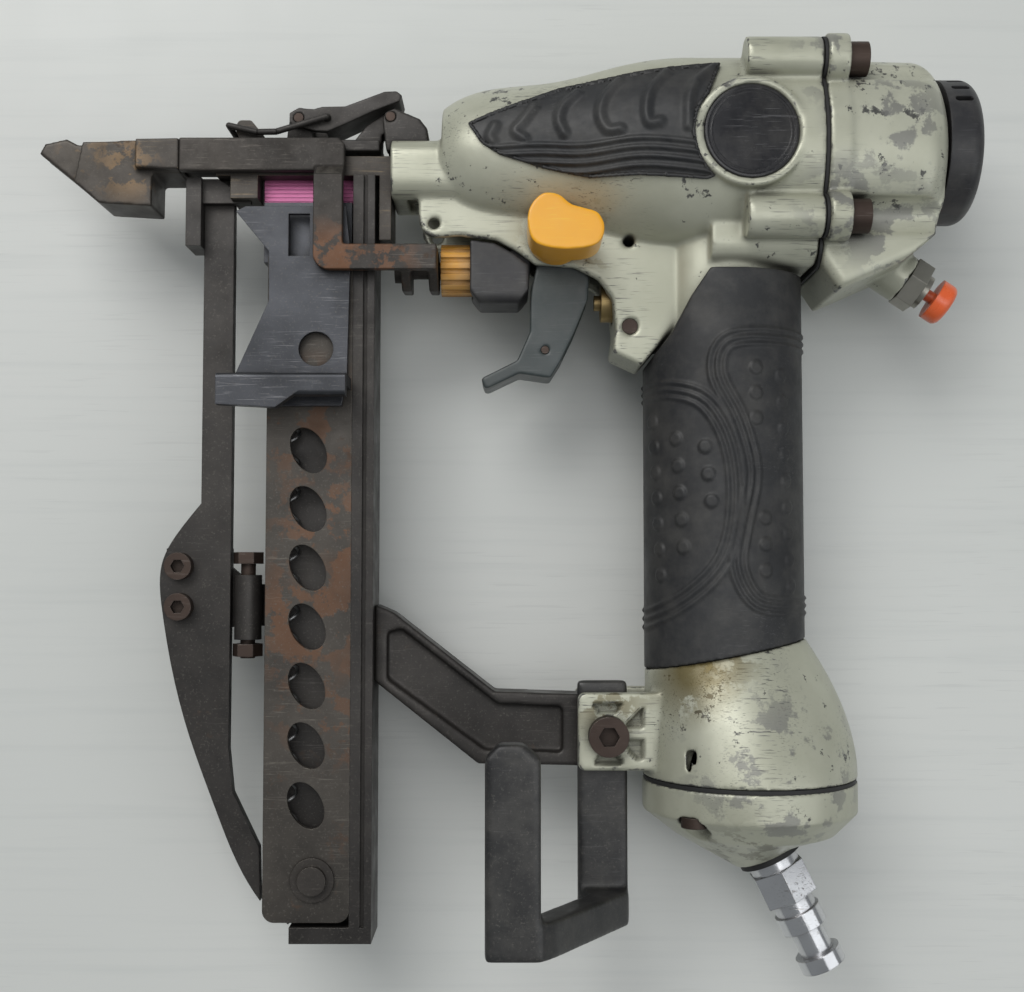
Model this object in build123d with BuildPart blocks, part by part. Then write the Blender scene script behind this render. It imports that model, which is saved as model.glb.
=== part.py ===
"""Pneumatic floor stapler / nail gun, lying on its side, in millimetres.

Frame: +X runs along the driving axis from the nose to the exhaust cover, +Y from the air
plug towards the top of the head, +Z up from the table. The tool's mid-plane is parallel to
the table. Heights called h below are measured from that mid-plane, +h towards the near side.
"""

import math
import os

from build123d import *

os.makedirs("parts", exist_ok=True)

# ---------------------------------------------------------------- driving dimensions
MID = 27.48  # height of the mid-plane above the table
AXIS_Y = 92.2  # driving axis
NOSE_X = -121.0  # tip of the nose
COVER_X = 121.0  # outer face of the exhaust cover

# cylinder and driver
LINER_R = 13.5  # bore radius
LINER_WALL = 1.5
LINER_FRONT, LINER_BACK = -6.0, 78.6
STROKE = 76.0
PISTON_BACK, PISTON_T = 76.0, 6.0
PISTON_FRONT = PISTON_BACK - PISTON_T
BLADE_TIP = -34.9
BLADE_W, BLADE_T = 3.8, 1.0
BUMPER_FRONT, BUMPER_R = -14.0, 12.0

# body casting
BARREL_FRONT = -16.0
PARTING_X, GASKET_T = 79.4, 0.8
BODY_END = PARTING_X - GASKET_T / 2
HEAD_START = PARTING_X + GASKET_T / 2
BARREL_R = 26.0
SCREW_OFFSET = 19.8  # head screws sit on a square of twice this side
WEB_H = 9.0  # half thickness of the trigger housing
SLOT_H = 6.6  # half width of the slot between its cheeks
NECK_X = -29.0

# handle
HANDLE_X = 56.8
HANDLE_A, HANDLE_B = 17.0, 13.5  # half widths of the metal tube
GRIP_A, GRIP_B = 20.6, 17.0  # half widths over the rubber sleeve
BELL_X, BELL_R = 62.8, 27.2
RIM_Y = -68.0
RIM_GAP = 1.0

# air inlet, tilted in the mid-plane
INLET_X, INLET_Y, INLET_TILT = 67.6, -87.0, 26.0
PLUG_R, PLUG_END = 5.9, 31.835

# lug that holds the magazine arm and the belt hook
LUG_X, LUG_Y, LUG_BOLT_R = 26.0, -56.4, 3.0
EAR_IN, EAR_OUT = 7.0, 10.5

# trigger group
PIVOT_X, PIVOT_Y, PIVOT_R = 13.2, 69.7, 2.5
TRIGGER_H = 6.1
ARM_PIN_X, ARM_PIN_Y = 10.5, 41.3
VALVE_Y, VALVE_R = 54.5, 5.0

# contact lever and adjuster
DIAL_Y, DIAL_R = 63.1, 6.7
DIAL_FRONT, DIAL_BACK = -16.4, -7.2
ROD_R = 2.2
LEVER_LOW, LEVER_HIGH, LEVER_T = 7.4, 10.8, 2.4

# magazine
RAIL_LEFT, RAIL_RIGHT = -37.9, -33.2
RAIL_BOTTOM = -108.4
COVER_LEFT, COVER_RIGHT = -60.5, -38.8
COVER_TOP, COVER_BOTTOM = 65.0, -103.2
FOOT_Y = -104.4
COVER_H, SHEET = 8.0, 1.6
CORE_H = 1.3
RIVET_X, RIVET_Y = -48.0, -92.6
HOLE_PITCH, HOLE_TOP, HOLE_COUNT = 14.9, 15.2, 7
STAPLE_LEFT, STAPLE_RIGHT = -62.7, -38.3
STAPLE_PITCH, STAPLE_TOP, STAPLE_COUNT = 1.05, 91.4, 11
WIRE_T, CROWN_H = 0.6, 2.0

# nose
NOSE_H = 6.8  # half thickness of the nose beam
NOSE_LOW, NOSE_TOP = 86.5, 96.0
BEAM_LEFT, SHOE_RIGHT = -74.4, -83.4
SHOE_TRAVEL = 8.0
CHANNEL_LOW, CHANNEL_HIGH, CHANNEL_H = 91.55, 92.85, 2.1
HINGE_X, HINGE_Y = -29.5, 102.2  # guide cover hinge
LATCH_X, LATCH_Y = -53.4, 102.1  # latch lever pivot
CRANK_X, CRANK_Y = -46.0, 102.0  # bail pivot on the lever
PIN_R = 1.25

# blow-off valve in the head, its axis in the mid-plane
DUSTER_X, DUSTER_Y, DUSTER_TILT = 104.9, 60.6, -33.7
EXHAUST_Y = 94.2


# ---------------------------------------------------------------- planes and helpers
def level(h):
    """Plane parallel to the table, h above the mid-plane."""
    return Plane.XY.offset(MID + h)


def across(x, y=AXIS_Y):
    """Plane square to the driving axis at x: its own x runs along +Y and its y along +Z."""
    return Plane(origin=(x, y, MID), x_dir=(0, 1, 0), z_dir=(1, 0, 0))


def along_y(y, x=0.0):
    """Plane square to +Y at y: its own x runs along +X and its y along -Z."""
    return Plane(origin=(x, y, MID), x_dir=(1, 0, 0), z_dir=(0, 1, 0))


def tilted(x, y, angle, distance=0.0):
    """Plane whose normal lies in the mid-plane at angle degrees from +X, distance out from (x, y)."""
    way = Vector(math.cos(math.radians(angle)), math.sin(math.radians(angle)), 0)
    return Plane(origin=Vector(x, y, MID) + way * distance, x_dir=(0, 0, 1), z_dir=way)


def inlet(distance):
    """Plane square to the air inlet's axis, distance out from its seat."""
    return tilted(INLET_X, INLET_Y, INLET_TILT - 90, distance)


def duster(distance):
    """Plane square to the blow-off valve's axis, distance out from its boss."""
    return tilted(DUSTER_X, DUSTER_Y, DUSTER_TILT, distance)


def keep(builder, name):
    """Labels a finished piece and writes it."""
    builder.part.label = name
    export_step(builder.part, f"parts/{name}.step")


GRIP_TILT = 11.0  # the sleeve's lower end climbs towards the rear
GRIP_END = Plane(
    origin=(HANDLE_X, -36.5, MID),
    x_dir=(math.cos(math.radians(GRIP_TILT)), math.sin(math.radians(GRIP_TILT)), 0),
    z_dir=(-math.sin(math.radians(GRIP_TILT)), math.cos(math.radians(GRIP_TILT)), 0),
)
X_AXIS = Axis((0, AXIS_Y, MID), (1, 0, 0))
SCREW_PLACES = [(y, z) for y in (-SCREW_OFFSET, SCREW_OFFSET) for z in (-SCREW_OFFSET, SCREW_OFFSET)]
COVER_HOLES = [(-49.8, HOLE_TOP - i * HOLE_PITCH) for i in range(HOLE_COUNT)]

# ---------------------------------------------------------------- body casting
BARREL = [(-10, 16.4), (12, 19.8), (31, 24.2), (50, BARREL_R)]
WEB = [
    (-24, 84), (-22, 80), (-22, 74), (-20.6, 71.2), (-18.4, 69.9), (-11.3, 70.4), (-2.1, 69.2),
    (2.9, 66.5), (7.9, 62.9), (17.8, 62.2), (23.9, 59.1), (27.6, 54.1), (28.4, 46.6), (27.6, 40.3),
    (34.9, 36.9), (41.9, 45.1), (46.8, 54.3), (51.8, 61.6), (60, 62), (60, 85),
]

with BuildPart() as casting:
    # barrel
    with BuildSketch(level(0)):
        with BuildLine():
            Polyline((BARREL_FRONT, AXIS_Y), (BARREL_FRONT, AXIS_Y + 13))
            Spline((BARREL_FRONT, AXIS_Y + 13), *[(x, AXIS_Y + r) for x, r in BARREL])
            Polyline((BARREL[-1][0], AXIS_Y + BARREL_R), (BODY_END, AXIS_Y + BARREL_R),
                     (BODY_END, AXIS_Y), (BARREL_FRONT, AXIS_Y))
        make_face()
    revolve(axis=X_AXIS)
    # neck that carries the nose
    with BuildSketch(across(NECK_X, 87.6)):
        RectangleRounded(15.4, 24, 5)
    extrude(amount=18)
    # bosses of the head screws
    with BuildSketch(across(60)):
        with Locations(*SCREW_PLACES):
            Circle(5.4)
    extrude(amount=BODY_END - 60)
    # air passage from the handle up to the head
    with BuildSketch(across(52, 70.5)):
        RectangleRounded(17, 33, 6)
    extrude(amount=BODY_END - 52)
    # trigger housing
    with BuildSketch(level(-WEB_H)):
        with BuildLine():
            Polyline(*WEB, close=True)
        make_face()
    extrude(amount=2 * WEB_H)
    # raised seats of the badges
    with BuildSketch(level(-25)):
        with Locations((60.7, AXIS_Y)):
            Circle(13.8)
    extrude(amount=50)
    # handle tube
    with BuildSketch(along_y(-40, HANDLE_X)):
        Ellipse(HANDLE_A, HANDLE_B)
    extrude(amount=110)
    # bell at the handle's end
    with BuildSketch(GRIP_END):
        Ellipse(HANDLE_A + 3.9, HANDLE_B + 3.3)
    with BuildSketch(along_y(-52, BELL_X - 1)):
        Ellipse(BELL_R - 1.6, BELL_R - 4)
    with BuildSketch(along_y(RIM_Y + RIM_GAP / 2, BELL_X)):
        Circle(BELL_R)
    loft()
    # two ears for the magazine arm
    for low in (EAR_IN, -EAR_OUT):
        with BuildSketch(level(low)):
            with BuildLine():
                Polyline((18.5, -65.3), (18.5, -45.9), (40, -45.9), (46, -50), (46, -62), (40, -65.3), close=True)
            make_face()
            fillet(vertices().sort_by(Axis.X)[:2], 1.8)
        extrude(amount=EAR_OUT - EAR_IN)
    # cylinder seat, return chamber, bumper seat and blade slot
    with BuildSketch(level(0)):
        with BuildLine():
            Polyline(
                (BUMPER_FRONT - 0.05, AXIS_Y), (BUMPER_FRONT - 0.05, AXIS_Y + BUMPER_R + 0.05),
                (LINER_FRONT - 0.05, AXIS_Y + BUMPER_R + 0.05), (LINER_FRONT - 0.05, AXIS_Y + 15.05),
                (14, AXIS_Y + 15.05), (30, AXIS_Y + 19.5), (52, AXIS_Y + 21.5), (72, AXIS_Y + 21.5),
                (72, AXIS_Y + 19.05), (BODY_END, AXIS_Y + 19.05), (BODY_END, AXIS_Y), close=True,
            )
        make_face()
    revolve(axis=X_AXIS, mode=Mode.SUBTRACT)
    with BuildSketch(across(NECK_X - 0.1)):
        Rectangle(2 * (CHANNEL_HIGH - AXIS_Y) + 0.6, 2 * CHANNEL_H + 0.4)
    extrude(amount=BUMPER_FRONT - NECK_X + 0.2, mode=Mode.SUBTRACT)
    # air chamber in the handle, passage to the head, cavity of the bell
    with BuildSketch(along_y(RIM_Y, HANDLE_X)):
        Ellipse(HANDLE_A - 3, HANDLE_B - 3)
    extrude(amount=138, mode=Mode.SUBTRACT)
    with BuildSketch(across(57, 67.5)):
        RectangleRounded(10, 22, 3)
    extrude(amount=30, mode=Mode.SUBTRACT)
    with BuildSketch(along_y(RIM_Y, BELL_X)):
        Circle(BELL_R - 3.2)
    with BuildSketch(along_y(-52, BELL_X - 1)):
        Ellipse(BELL_R - 6, BELL_R - 8)
    loft(mode=Mode.SUBTRACT)
    # trigger slot between the cheeks
    with BuildSketch(level(-SLOT_H)):
        with BuildLine():
            Polyline((-25, 83), (-25, 60), (-6, 30), (26, 30), (26, 75.2), (-8, 75.2), (-14, 83), close=True)
        make_face()
    extrude(amount=2 * SLOT_H, mode=Mode.SUBTRACT)
    # bore of the trigger valve
    with BuildSketch(across(25, VALVE_Y)):
        Circle(VALVE_R + 0.03)
    extrude(amount=24, mode=Mode.SUBTRACT)
    # cross holes: trigger shaft, guide pin, two dowels, lug bolt
    with BuildSketch(level(-40)):
        with Locations((PIVOT_X, PIVOT_Y)):
            Circle(PIVOT_R + 0.04)
        with Locations((-18, 73.5), (31.9, 68.9)):
            Circle(1.5)
        with Locations((32.1, 46.9)):
            Circle(2.0)
        with Locations((LUG_X, LUG_Y)):
            Circle(LUG_BOLT_R + 0.05)
    extrude(amount=80, mode=Mode.SUBTRACT)
    # turned face under the mode knob
    with BuildSketch(level(WEB_H + 0.04)):
        with Locations((PIVOT_X, PIVOT_Y)):
            Circle(7.8)
    extrude(amount=20, mode=Mode.SUBTRACT)
    # threaded holes of the head screws
    with BuildSketch(across(64)):
        with Locations(*SCREW_PLACES):
            Circle(2.5)
    extrude(amount=20, mode=Mode.SUBTRACT)
    # threaded hole of the end cap's screw
    with BuildSketch(along_y(RIM_Y, 46.5)):
        with Locations((0, -18)):
            Circle(2.05)
    extrude(amount=9, mode=Mode.SUBTRACT)
    # round recesses of the badges
    for side in (1, -1):
        with BuildSketch(level(side * 24.0)):
            with Locations((60.7, AXIS_Y)):
                Circle(12.6)
        extrude(amount=side * 6, mode=Mode.SUBTRACT)

# the casting is written as two pieces that meet face to face below the barrel
SPLIT = Plane(origin=(0, 56.0, MID), x_dir=(1, 0, 0), z_dir=(0, 1, 0))
with BuildPart() as handle:
    add(casting.part)
    split(bisect_by=SPLIT, keep=Keep.BOTTOM)
with BuildPart() as housing:
    add(casting.part)
    split(bisect_by=SPLIT, keep=Keep.TOP)
keep(housing, "housing")
keep(handle, "handle")


# ---------------------------------------------------------------- head
def flange_outline(radius, boss):
    """Outline shared by the cap's flange and its gasket."""
    Circle(radius)
    with Locations(*SCREW_PLACES):
        Circle(boss)
    with Locations((-22, 0)):
        RectangleRounded(18, 33, 6)


with BuildPart() as head_gasket:
    with BuildSketch(across(BODY_END)):
        flange_outline(25.6, 5.4)
    extrude(amount=GASKET_T)
    with BuildSketch(across(BODY_END)):
        Circle(19.05)
        with Locations((-24.7, 0)):
            RectangleRounded(10, 22, 3)
        with Locations(*SCREW_PLACES):
            Circle(2.6)
    extrude(amount=GASKET_T, mode=Mode.SUBTRACT)
keep(head_gasket, "head_gasket")

FLANGE_T = 5.6
with BuildPart() as head_cap:
    with BuildSketch(across(HEAD_START)):
        flange_outline(25.6, 6.2)
    extrude(amount=FLANGE_T)
    with BuildSketch(level(0)):
        with BuildLine():
            Polyline((HEAD_START, AXIS_Y), (HEAD_START, AXIS_Y + 25.3), (104, AXIS_Y + 24.8))
            Spline((104, AXIS_Y + 24.8), (107.5, AXIS_Y + 23.6), (110.4, AXIS_Y + 19.8), (111.4, AXIS_Y + 16))
            Polyline((111.4, AXIS_Y + 16), (111.4, AXIS_Y), (HEAD_START, AXIS_Y))
        make_face()
    revolve(axis=X_AXIS)
    # chin over the air passage
    with BuildSketch(level(-16.5)):
        with BuildLine():
            Polyline((HEAD_START, AXIS_Y), (HEAD_START, 61.5), (84, 55), (100, 62), (108.5, 69), (110.6, 78),
                     (111.2, AXIS_Y), close=True)
        make_face()
    extrude(amount=33)
    fillet(head_cap.edges().filter_by(GeomType.LINE).filter_by(Plane.XY).sort_by(Axis.Y)[:6], 2.5)
    # boss of the blow-off valve
    with BuildSketch(duster(-14)):
        Circle(6.4)
    extrude(amount=14)
    # chamber of the head valve, exhaust bore, air passage
    with BuildSketch(across(HEAD_START - 1)):
        Circle(19.05)
    extrude(amount=94 - HEAD_START + 1, mode=Mode.SUBTRACT)
    with BuildSketch(across(90)):
        Circle(8.06)
    extrude(amount=30, mode=Mode.SUBTRACT)
    with BuildSketch(across(HEAD_START - 1)):
        with Locations((-24.7, 0)):
            RectangleRounded(10, 22, 3)
    extrude(amount=12, mode=Mode.SUBTRACT)
    with BuildSketch(duster(-20)):
        Circle(2.6)
    extrude(amount=30, mode=Mode.SUBTRACT)
    with BuildSketch(duster(-7)):
        Circle(4.03)
    extrude(amount=10, mode=Mode.SUBTRACT)
    # screw holes and the sink round each head
    with BuildSketch(across(HEAD_START - 1)):
        with Locations(*SCREW_PLACES):
            Circle(2.6)
    extrude(amount=12, mode=Mode.SUBTRACT)
    with BuildSketch(across(HEAD_START + FLANGE_T)):
        with Locations(*SCREW_PLACES):
            Circle(5.2)
    extrude(amount=30, mode=Mode.SUBTRACT)
    # hole of the exhaust cover's screw sits in a spider across the bore
    with BuildSketch(across(108.4, EXHAUST_Y)):
        with Locations((-2, 0)):
            Rectangle(20, 4)
        Rectangle(4, 18)
        Circle(4)
    extrude(amount=3)
    with BuildSketch(across(100, EXHAUST_Y)):
        Circle(1.6)
    extrude(amount=14, mode=Mode.SUBTRACT)
keep(head_cap, "head_cap")


def socket_screws(plane, places, shank_r, shank, head_r, head, socket):
    """Socket head screws: the plane is under the heads, shanks run against its normal."""
    with BuildPart() as screws:
        with BuildSketch(plane):
            with Locations(*places):
                Circle(head_r)
        extrude(amount=head)
        with BuildSketch(plane):
            with Locations(*places):
                Circle(shank_r)
        extrude(amount=-shank)
        with BuildSketch(plane.offset(head)):
            with Locations(*places):
                RegularPolygon(socket, 6)
        extrude(amount=-head * 0.55, mode=Mode.SUBTRACT)
    return screws


cap_screws = socket_screws(across(HEAD_START + FLANGE_T), SCREW_PLACES, 2.45, 20, 4.25, 5, 2.3)
keep(cap_screws, "cap_screws")

with BuildPart() as cylinder_liner:
    with BuildSketch(level(0)):
        with BuildLine():
            Polyline(
                (LINER_FRONT, AXIS_Y + LINER_R), (LINER_FRONT, AXIS_Y + 15), (72.05, AXIS_Y + 15),
                (72.05, AXIS_Y + 19), (73.6, AXIS_Y + 19), (73.6, AXIS_Y + 17.2), (76.4, AXIS_Y + 17.2),
                (76.4, AXIS_Y + 19), (LINER_BACK, AXIS_Y + 19), (LINER_BACK, AXIS_Y + LINER_R), close=True,
            )
        make_face()
    revolve(axis=X_AXIS)
    for i in range(4):
        with BuildSketch(Plane(origin=(24, AXIS_Y, MID), z_dir=(0, math.cos(i * math.pi / 4), math.sin(i * math.pi / 4)))):
            Circle(1.2)
        extrude(amount=20, both=True, mode=Mode.SUBTRACT)
keep(cylinder_liner, "cylinder_liner")

with BuildPart() as liner_seal:
    with BuildSketch(level(0)):
        with Locations((75, AXIS_Y + 18.1)):
            Circle(0.9)
    revolve(axis=X_AXIS)
keep(liner_seal, "liner_seal")

with BuildPart() as bumper:
    with BuildSketch(across(BUMPER_FRONT)):
        Circle(BUMPER_R)
        Rectangle(3, 6, mode=Mode.SUBTRACT)
    extrude(amount=LINER_FRONT - BUMPER_FRONT - 0.1)
keep(bumper, "bumper")

# ---------------------------------------------------------------- driver
with BuildPart() as piston:
    with BuildSketch(across(PISTON_FRONT)):
        Circle(LINER_R - 0.05)
        Rectangle(BLADE_T, BLADE_W, mode=Mode.SUBTRACT)
    extrude(amount=PISTON_T)
    with BuildSketch(across(PISTON_FRONT + 1.6)):
        Circle(LINER_R)
        Circle(11.1, mode=Mode.SUBTRACT)
    extrude(amount=2.8, mode=Mode.SUBTRACT)
keep(piston, "piston")

with BuildPart() as piston_seal:
    with BuildSketch(level(0)):
        with Locations((PISTON_FRONT + 3, AXIS_Y + 12.28)):
            Circle(1.16)
    revolve(axis=X_AXIS)
keep(piston_seal, "piston_seal")

with BuildPart() as driver_blade:
    with BuildSketch(across(BLADE_TIP)):
        Rectangle(BLADE_T, BLADE_W)
    extrude(amount=PISTON_BACK - BLADE_TIP)
keep(driver_blade, "driver_blade")

# ---------------------------------------------------------------- head valve and exhaust
VALVE_FRONT = LINER_BACK + 0.1
with BuildPart() as head_valve:
    with BuildSketch(across(VALVE_FRONT)):
        Circle(19)
    extrude(amount=6)
    with BuildSketch(across(VALVE_FRONT)):
        Circle(8)
    extrude(amount=22)
    with BuildSketch(across(VALVE_FRONT - 1)):
        Circle(6.4)
    extrude(amount=30, mode=Mode.SUBTRACT)
keep(head_valve, "head_valve")


def coil(start, way, radius, length, turns, wire):
    """Spring wire along a helix that starts at a point and runs along a direction."""
    with BuildPart() as spring:
        with BuildLine() as path:
            Helix(length / turns, length, radius, center=start, direction=way)
        with BuildSketch(Plane(path.line @ 0, z_dir=path.line % 0)):
            Circle(wire)
        sweep(path=path.line)
    return spring


head_valve_spring = coil((VALVE_FRONT + 6.9, AXIS_Y, MID), (1, 0, 0), 12.5, 7.7, 3.5, 0.7)
keep(head_valve_spring, "head_valve_spring")

with BuildPart() as exhaust_cover:
    with BuildSketch(across(111.8, EXHAUST_Y)):
        Circle(18.6)
    extrude(amount=COVER_X - 111.8)
    fillet(exhaust_cover.faces().sort_by(Axis.X)[-1].edges(), 3.6)
    with BuildSketch(across(111, EXHAUST_Y)):
        Circle(16.2)
    extrude(amount=COVER_X - 2.2 - 111, mode=Mode.SUBTRACT)
    with BuildSketch(across(111.8, EXHAUST_Y)):
        Circle(3.6)
    extrude(amount=COVER_X - 1 - 111.8)
    with BuildSketch(across(110, EXHAUST_Y)):
        Circle(1.7)
    extrude(amount=14, mode=Mode.SUBTRACT)
    with BuildSketch(across(COVER_X - 3.4, EXHAUST_Y)):
        Circle(3.2)
    extrude(amount=6, mode=Mode.SUBTRACT)
    # exhaust slots round one half of the rim
    for i in range(9):
        turn = math.radians(-60 + i * 15)
        way = Vector(0, math.cos(turn), math.sin(turn))
        with BuildSketch(Plane(origin=(116, EXHAUST_Y, MID), x_dir=(1, 0, 0), z_dir=way)):
            SlotOverall(4.6, 1.8)
        extrude(amount=22, mode=Mode.SUBTRACT)
keep(exhaust_cover, "exhaust_cover")

exhaust_screw = socket_screws(across(COVER_X - 3.38, EXHAUST_Y), [(0, 0)], 1.55, 9, 2.9, 2.4, 1.5)
keep(exhaust_screw, "exhaust_screw")

# ---------------------------------------------------------------- blow-off valve
with BuildPart() as duster_body:
    with BuildSketch(duster(-6.9)):
        Circle(4)
    extrude(amount=6.9)
    with BuildSketch(duster(0)):
        RegularPolygon(6.9, 6)
    extrude(amount=4.6)
    with BuildSketch(duster(4.6)):
        Circle(4.6)
    extrude(amount=1.6)
    with BuildSketch(duster(-6.9)):
        Circle(1.65)
    extrude(amount=20, mode=Mode.SUBTRACT)
keep(duster_body, "duster_body")

with BuildPart() as duster_button:
    with BuildSketch(duster(-6)):
        Circle(1.6)
    extrude(amount=16)
    with BuildSketch(duster(8.6)):
        Circle(5.6)
    extrude(amount=4.6)
    fillet(duster_button.edges().filter_by(GeomType.CIRCLE).sort_by(Axis((0, 0, 0), duster(0).z_dir))[-1], 1.8)
keep(duster_button, "duster_button")

# ---------------------------------------------------------------- end cap and air inlet
with BuildPart() as end_gasket:
    with BuildSketch(along_y(RIM_Y - RIM_GAP / 2, BELL_X)):
        Circle(BELL_R - 0.3)
        Circle(BELL_R - 3.4, mode=Mode.SUBTRACT)
        with Locations((-16.3, -18)):
            Circle(2.05, mode=Mode.SUBTRACT)
    extrude(amount=RIM_GAP)
keep(end_gasket, "end_gasket")

END_SCREWS = [(BELL_X - 19, MID), (BELL_X + 19, MID)]
with BuildPart() as end_cap:
    with BuildSketch(along_y(RIM_Y - RIM_GAP / 2, BELL_X)):
        Circle(BELL_R)
    extrude(amount=-7.4)
    with BuildSketch(along_y(RIM_Y - RIM_GAP / 2 - 7.4, BELL_X)):
        Circle(BELL_R)
    with BuildSketch(along_y(-81.6, BELL_X + 1)):
        Circle(BELL_R - 6.5)
    loft()
    with BuildSketch(along_y(-81.6, BELL_X + 1)):
        Circle(BELL_R - 6.5)
    with BuildSketch(inlet(0)):
        Circle(9)
    loft()
    with BuildSketch(along_y(RIM_Y, BELL_X)):
        Circle(BELL_R - 3.4)
    extrude(amount=-9, mode=Mode.SUBTRACT)
    with BuildSketch(inlet(2)):
        Circle(6.5)
    extrude(amount=-14, mode=Mode.SUBTRACT)
    for start, radius in ((-60, 2.05), (-75, 3.9)):
        with BuildSketch(along_y(start, 46.5)):
            with Locations((0, -18)):
                Circle(radius)
        extrude(amount=-30, mode=Mode.SUBTRACT)
keep(end_cap, "end_cap")
end_screws = socket_screws(along_y(-75, BELL_X).rotated((180, 0, 0)), [(-16.3, 18)], 2.0, 10, 3.4, 2.6, 1.7)
keep(end_screws, "end_screws")

with BuildPart() as air_plug:
    # thread, hexagon, neck, locking ring and nose
    with BuildSketch(inlet(-9)):
        Circle(6.4)
    extrude(amount=13.4)
    with BuildSketch(inlet(4.4)):
        RegularPolygon(7.6, 6)
    extrude(amount=8.4)
    for start, end, radius in ((12.8, 16.4, 5.4), (16.4, 21, 6), (21, 28, 4.3), (28, PLUG_END, PLUG_R)):
        with BuildSketch(inlet(start)):
            Circle(radius)
        extrude(amount=end - start)
    with BuildSketch(inlet(-10)):
        Circle(3.1)
    extrude(amount=50, mode=Mode.SUBTRACT)
keep(air_plug, "air_plug")

with BuildPart() as plug_seal:
    with BuildSketch(inlet(0.02)):
        Circle(8.2)
        Circle(6.45, mode=Mode.SUBTRACT)
    extrude(amount=1.5)
keep(plug_seal, "plug_seal")

# ---------------------------------------------------------------- rubber and plastic on the body
with BuildPart() as grip_sleeve:
    with BuildSketch(along_y(-46, HANDLE_X)):
        Ellipse(GRIP_A, GRIP_B)
        Ellipse(HANDLE_A + 0.04, HANDLE_B + 0.04, mode=Mode.SUBTRACT)
    extrude(amount=106.5)
    split(bisect_by=GRIP_END.offset(0.05), keep=Keep.TOP)
    with BuildSketch(level(-30)):
        with BuildLine():
            Polyline((30, 35), (35.6, 36.2), (42.4, 44.8), (47.3, 54.1), (52.3, 61.4), (30, 61.4), close=True)
        make_face()
    extrude(amount=60, mode=Mode.SUBTRACT)
keep(grip_sleeve, "grip_sleeve")

PAD = [
    (-9.2, 96.9), (-2.2, 99.8), (14, 106.2), (33.9, 109.2), (54.3, 111.6), (51.8, 105.4), (47.4, 94.5),
    (48.7, 88.6), (54.1, 82.1), (49.9, 80.4), (33.7, 81.7), (21.3, 81.9), (10.2, 84.6), (-1, 88.2), (-5.9, 91.5),
]


PAD_T = 1.45


def barrel_profile(extra, end):
    """Half section of the barrel's outside, grown by extra, ready to be revolved."""
    Polyline((BARREL_FRONT, AXIS_Y), (BARREL_FRONT, AXIS_Y + 13 + extra))
    Spline((BARREL_FRONT, AXIS_Y + 13 + extra), *[(x, AXIS_Y + r + extra) for x, r in BARREL])
    Polyline((BARREL[-1][0], AXIS_Y + BARREL_R + extra), (end, AXIS_Y + BARREL_R + extra),
             (end, AXIS_Y), (BARREL_FRONT, AXIS_Y))


# pads of even thickness, one on each flank of the barrel
with BuildPart() as side_pads:
    with BuildSketch(level(0)):
        with BuildLine():
            barrel_profile(PAD_T, 62)
        make_face()
    revolve(axis=X_AXIS)
    with BuildSketch(level(-30)):
        with BuildLine():
            Polyline(*PAD, close=True)
        make_face()
    extrude(amount=60, mode=Mode.INTERSECT)
    with BuildSketch(level(0)):
        with BuildLine():
            barrel_profile(0.02, 64)
        make_face()
    revolve(axis=X_AXIS, mode=Mode.SUBTRACT)
    with BuildSketch(level(0)):
        Rectangle(200, 300)
    extrude(amount=9.5, both=True, mode=Mode.SUBTRACT)
    with BuildSketch(level(0)):
        with Locations((60.7, AXIS_Y)):
            Circle(14)
    extrude(amount=30, both=True, mode=Mode.SUBTRACT)
keep(side_pads, "side_pads")

# plain discs in the round recesses
with BuildPart() as badges:
    for side in (1, -1):
        with BuildSketch(level(side * 24.02)):
            with Locations((60.7, AXIS_Y)):
                Circle(12.5)
        extrude(amount=side * 1.5)
keep(badges, "badges")

# ---------------------------------------------------------------- trigger group
with BuildPart() as valve_bushing:
    with BuildSketch(across(25.1, VALVE_Y)):
        Circle(VALVE_R)
    extrude(amount=21)
    with BuildSketch(across(24, VALVE_Y)):
        Circle(2.05)
    extrude(amount=30, mode=Mode.SUBTRACT)
    with BuildSketch(across(36, VALVE_Y)):
        Circle(3.9)
    extrude(amount=20, mode=Mode.SUBTRACT)
keep(valve_bushing, "valve_bushing")

with BuildPart() as valve_plunger:
    with BuildSketch(across(23.4, VALVE_Y)):
        Circle(2)
    extrude(amount=15)
    with BuildSketch(across(36.1, VALVE_Y)):
        Circle(3.4)
    extrude(amount=2.2)
keep(valve_plunger, "valve_plunger")

TRIGGER = [
    (8.2, 69.7), (8.2, 62.5), (6.8, 56.8), (6.6, 46), (3.3, 38.6), (-6, 34), (-5.0, 31.0), (3.8, 35.2),
    (11.8, 34), (14.4, 38.2), (18.0, 45.6), (21.6, 54.6), (21.9, 60.2), (18.2, 69.7),
]
with BuildPart() as trigger:
    with BuildSketch(level(-TRIGGER_H)):
        with BuildLine():
            Polyline(*TRIGGER, close=True)
        make_face()
        fillet(vertices().filter_by_position(Axis.Y, 30, 62), 0.9)
        with Locations((PIVOT_X, PIVOT_Y)):
            Circle(5)
    extrude(amount=2 * TRIGGER_H)
    with BuildSketch(level(-3.4)):
        with BuildLine():
            Polyline((4, 77), (4, 64.5), (9.6, 62), (8.4, 45.2), (7.7, 38.4), (13.4, 38), (17, 42), (28, 56),
                     (28, 77), close=True)
        make_face()
    extrude(amount=6.8, mode=Mode.SUBTRACT)
    with BuildSketch(level(-10)):
        with Locations((PIVOT_X, PIVOT_Y)):
            Circle(PIVOT_R + 0.05)
        with Locations((ARM_PIN_X, ARM_PIN_Y)):
            Circle(1.02)
    extrude(amount=20, mode=Mode.SUBTRACT)
keep(trigger, "trigger")

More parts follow.
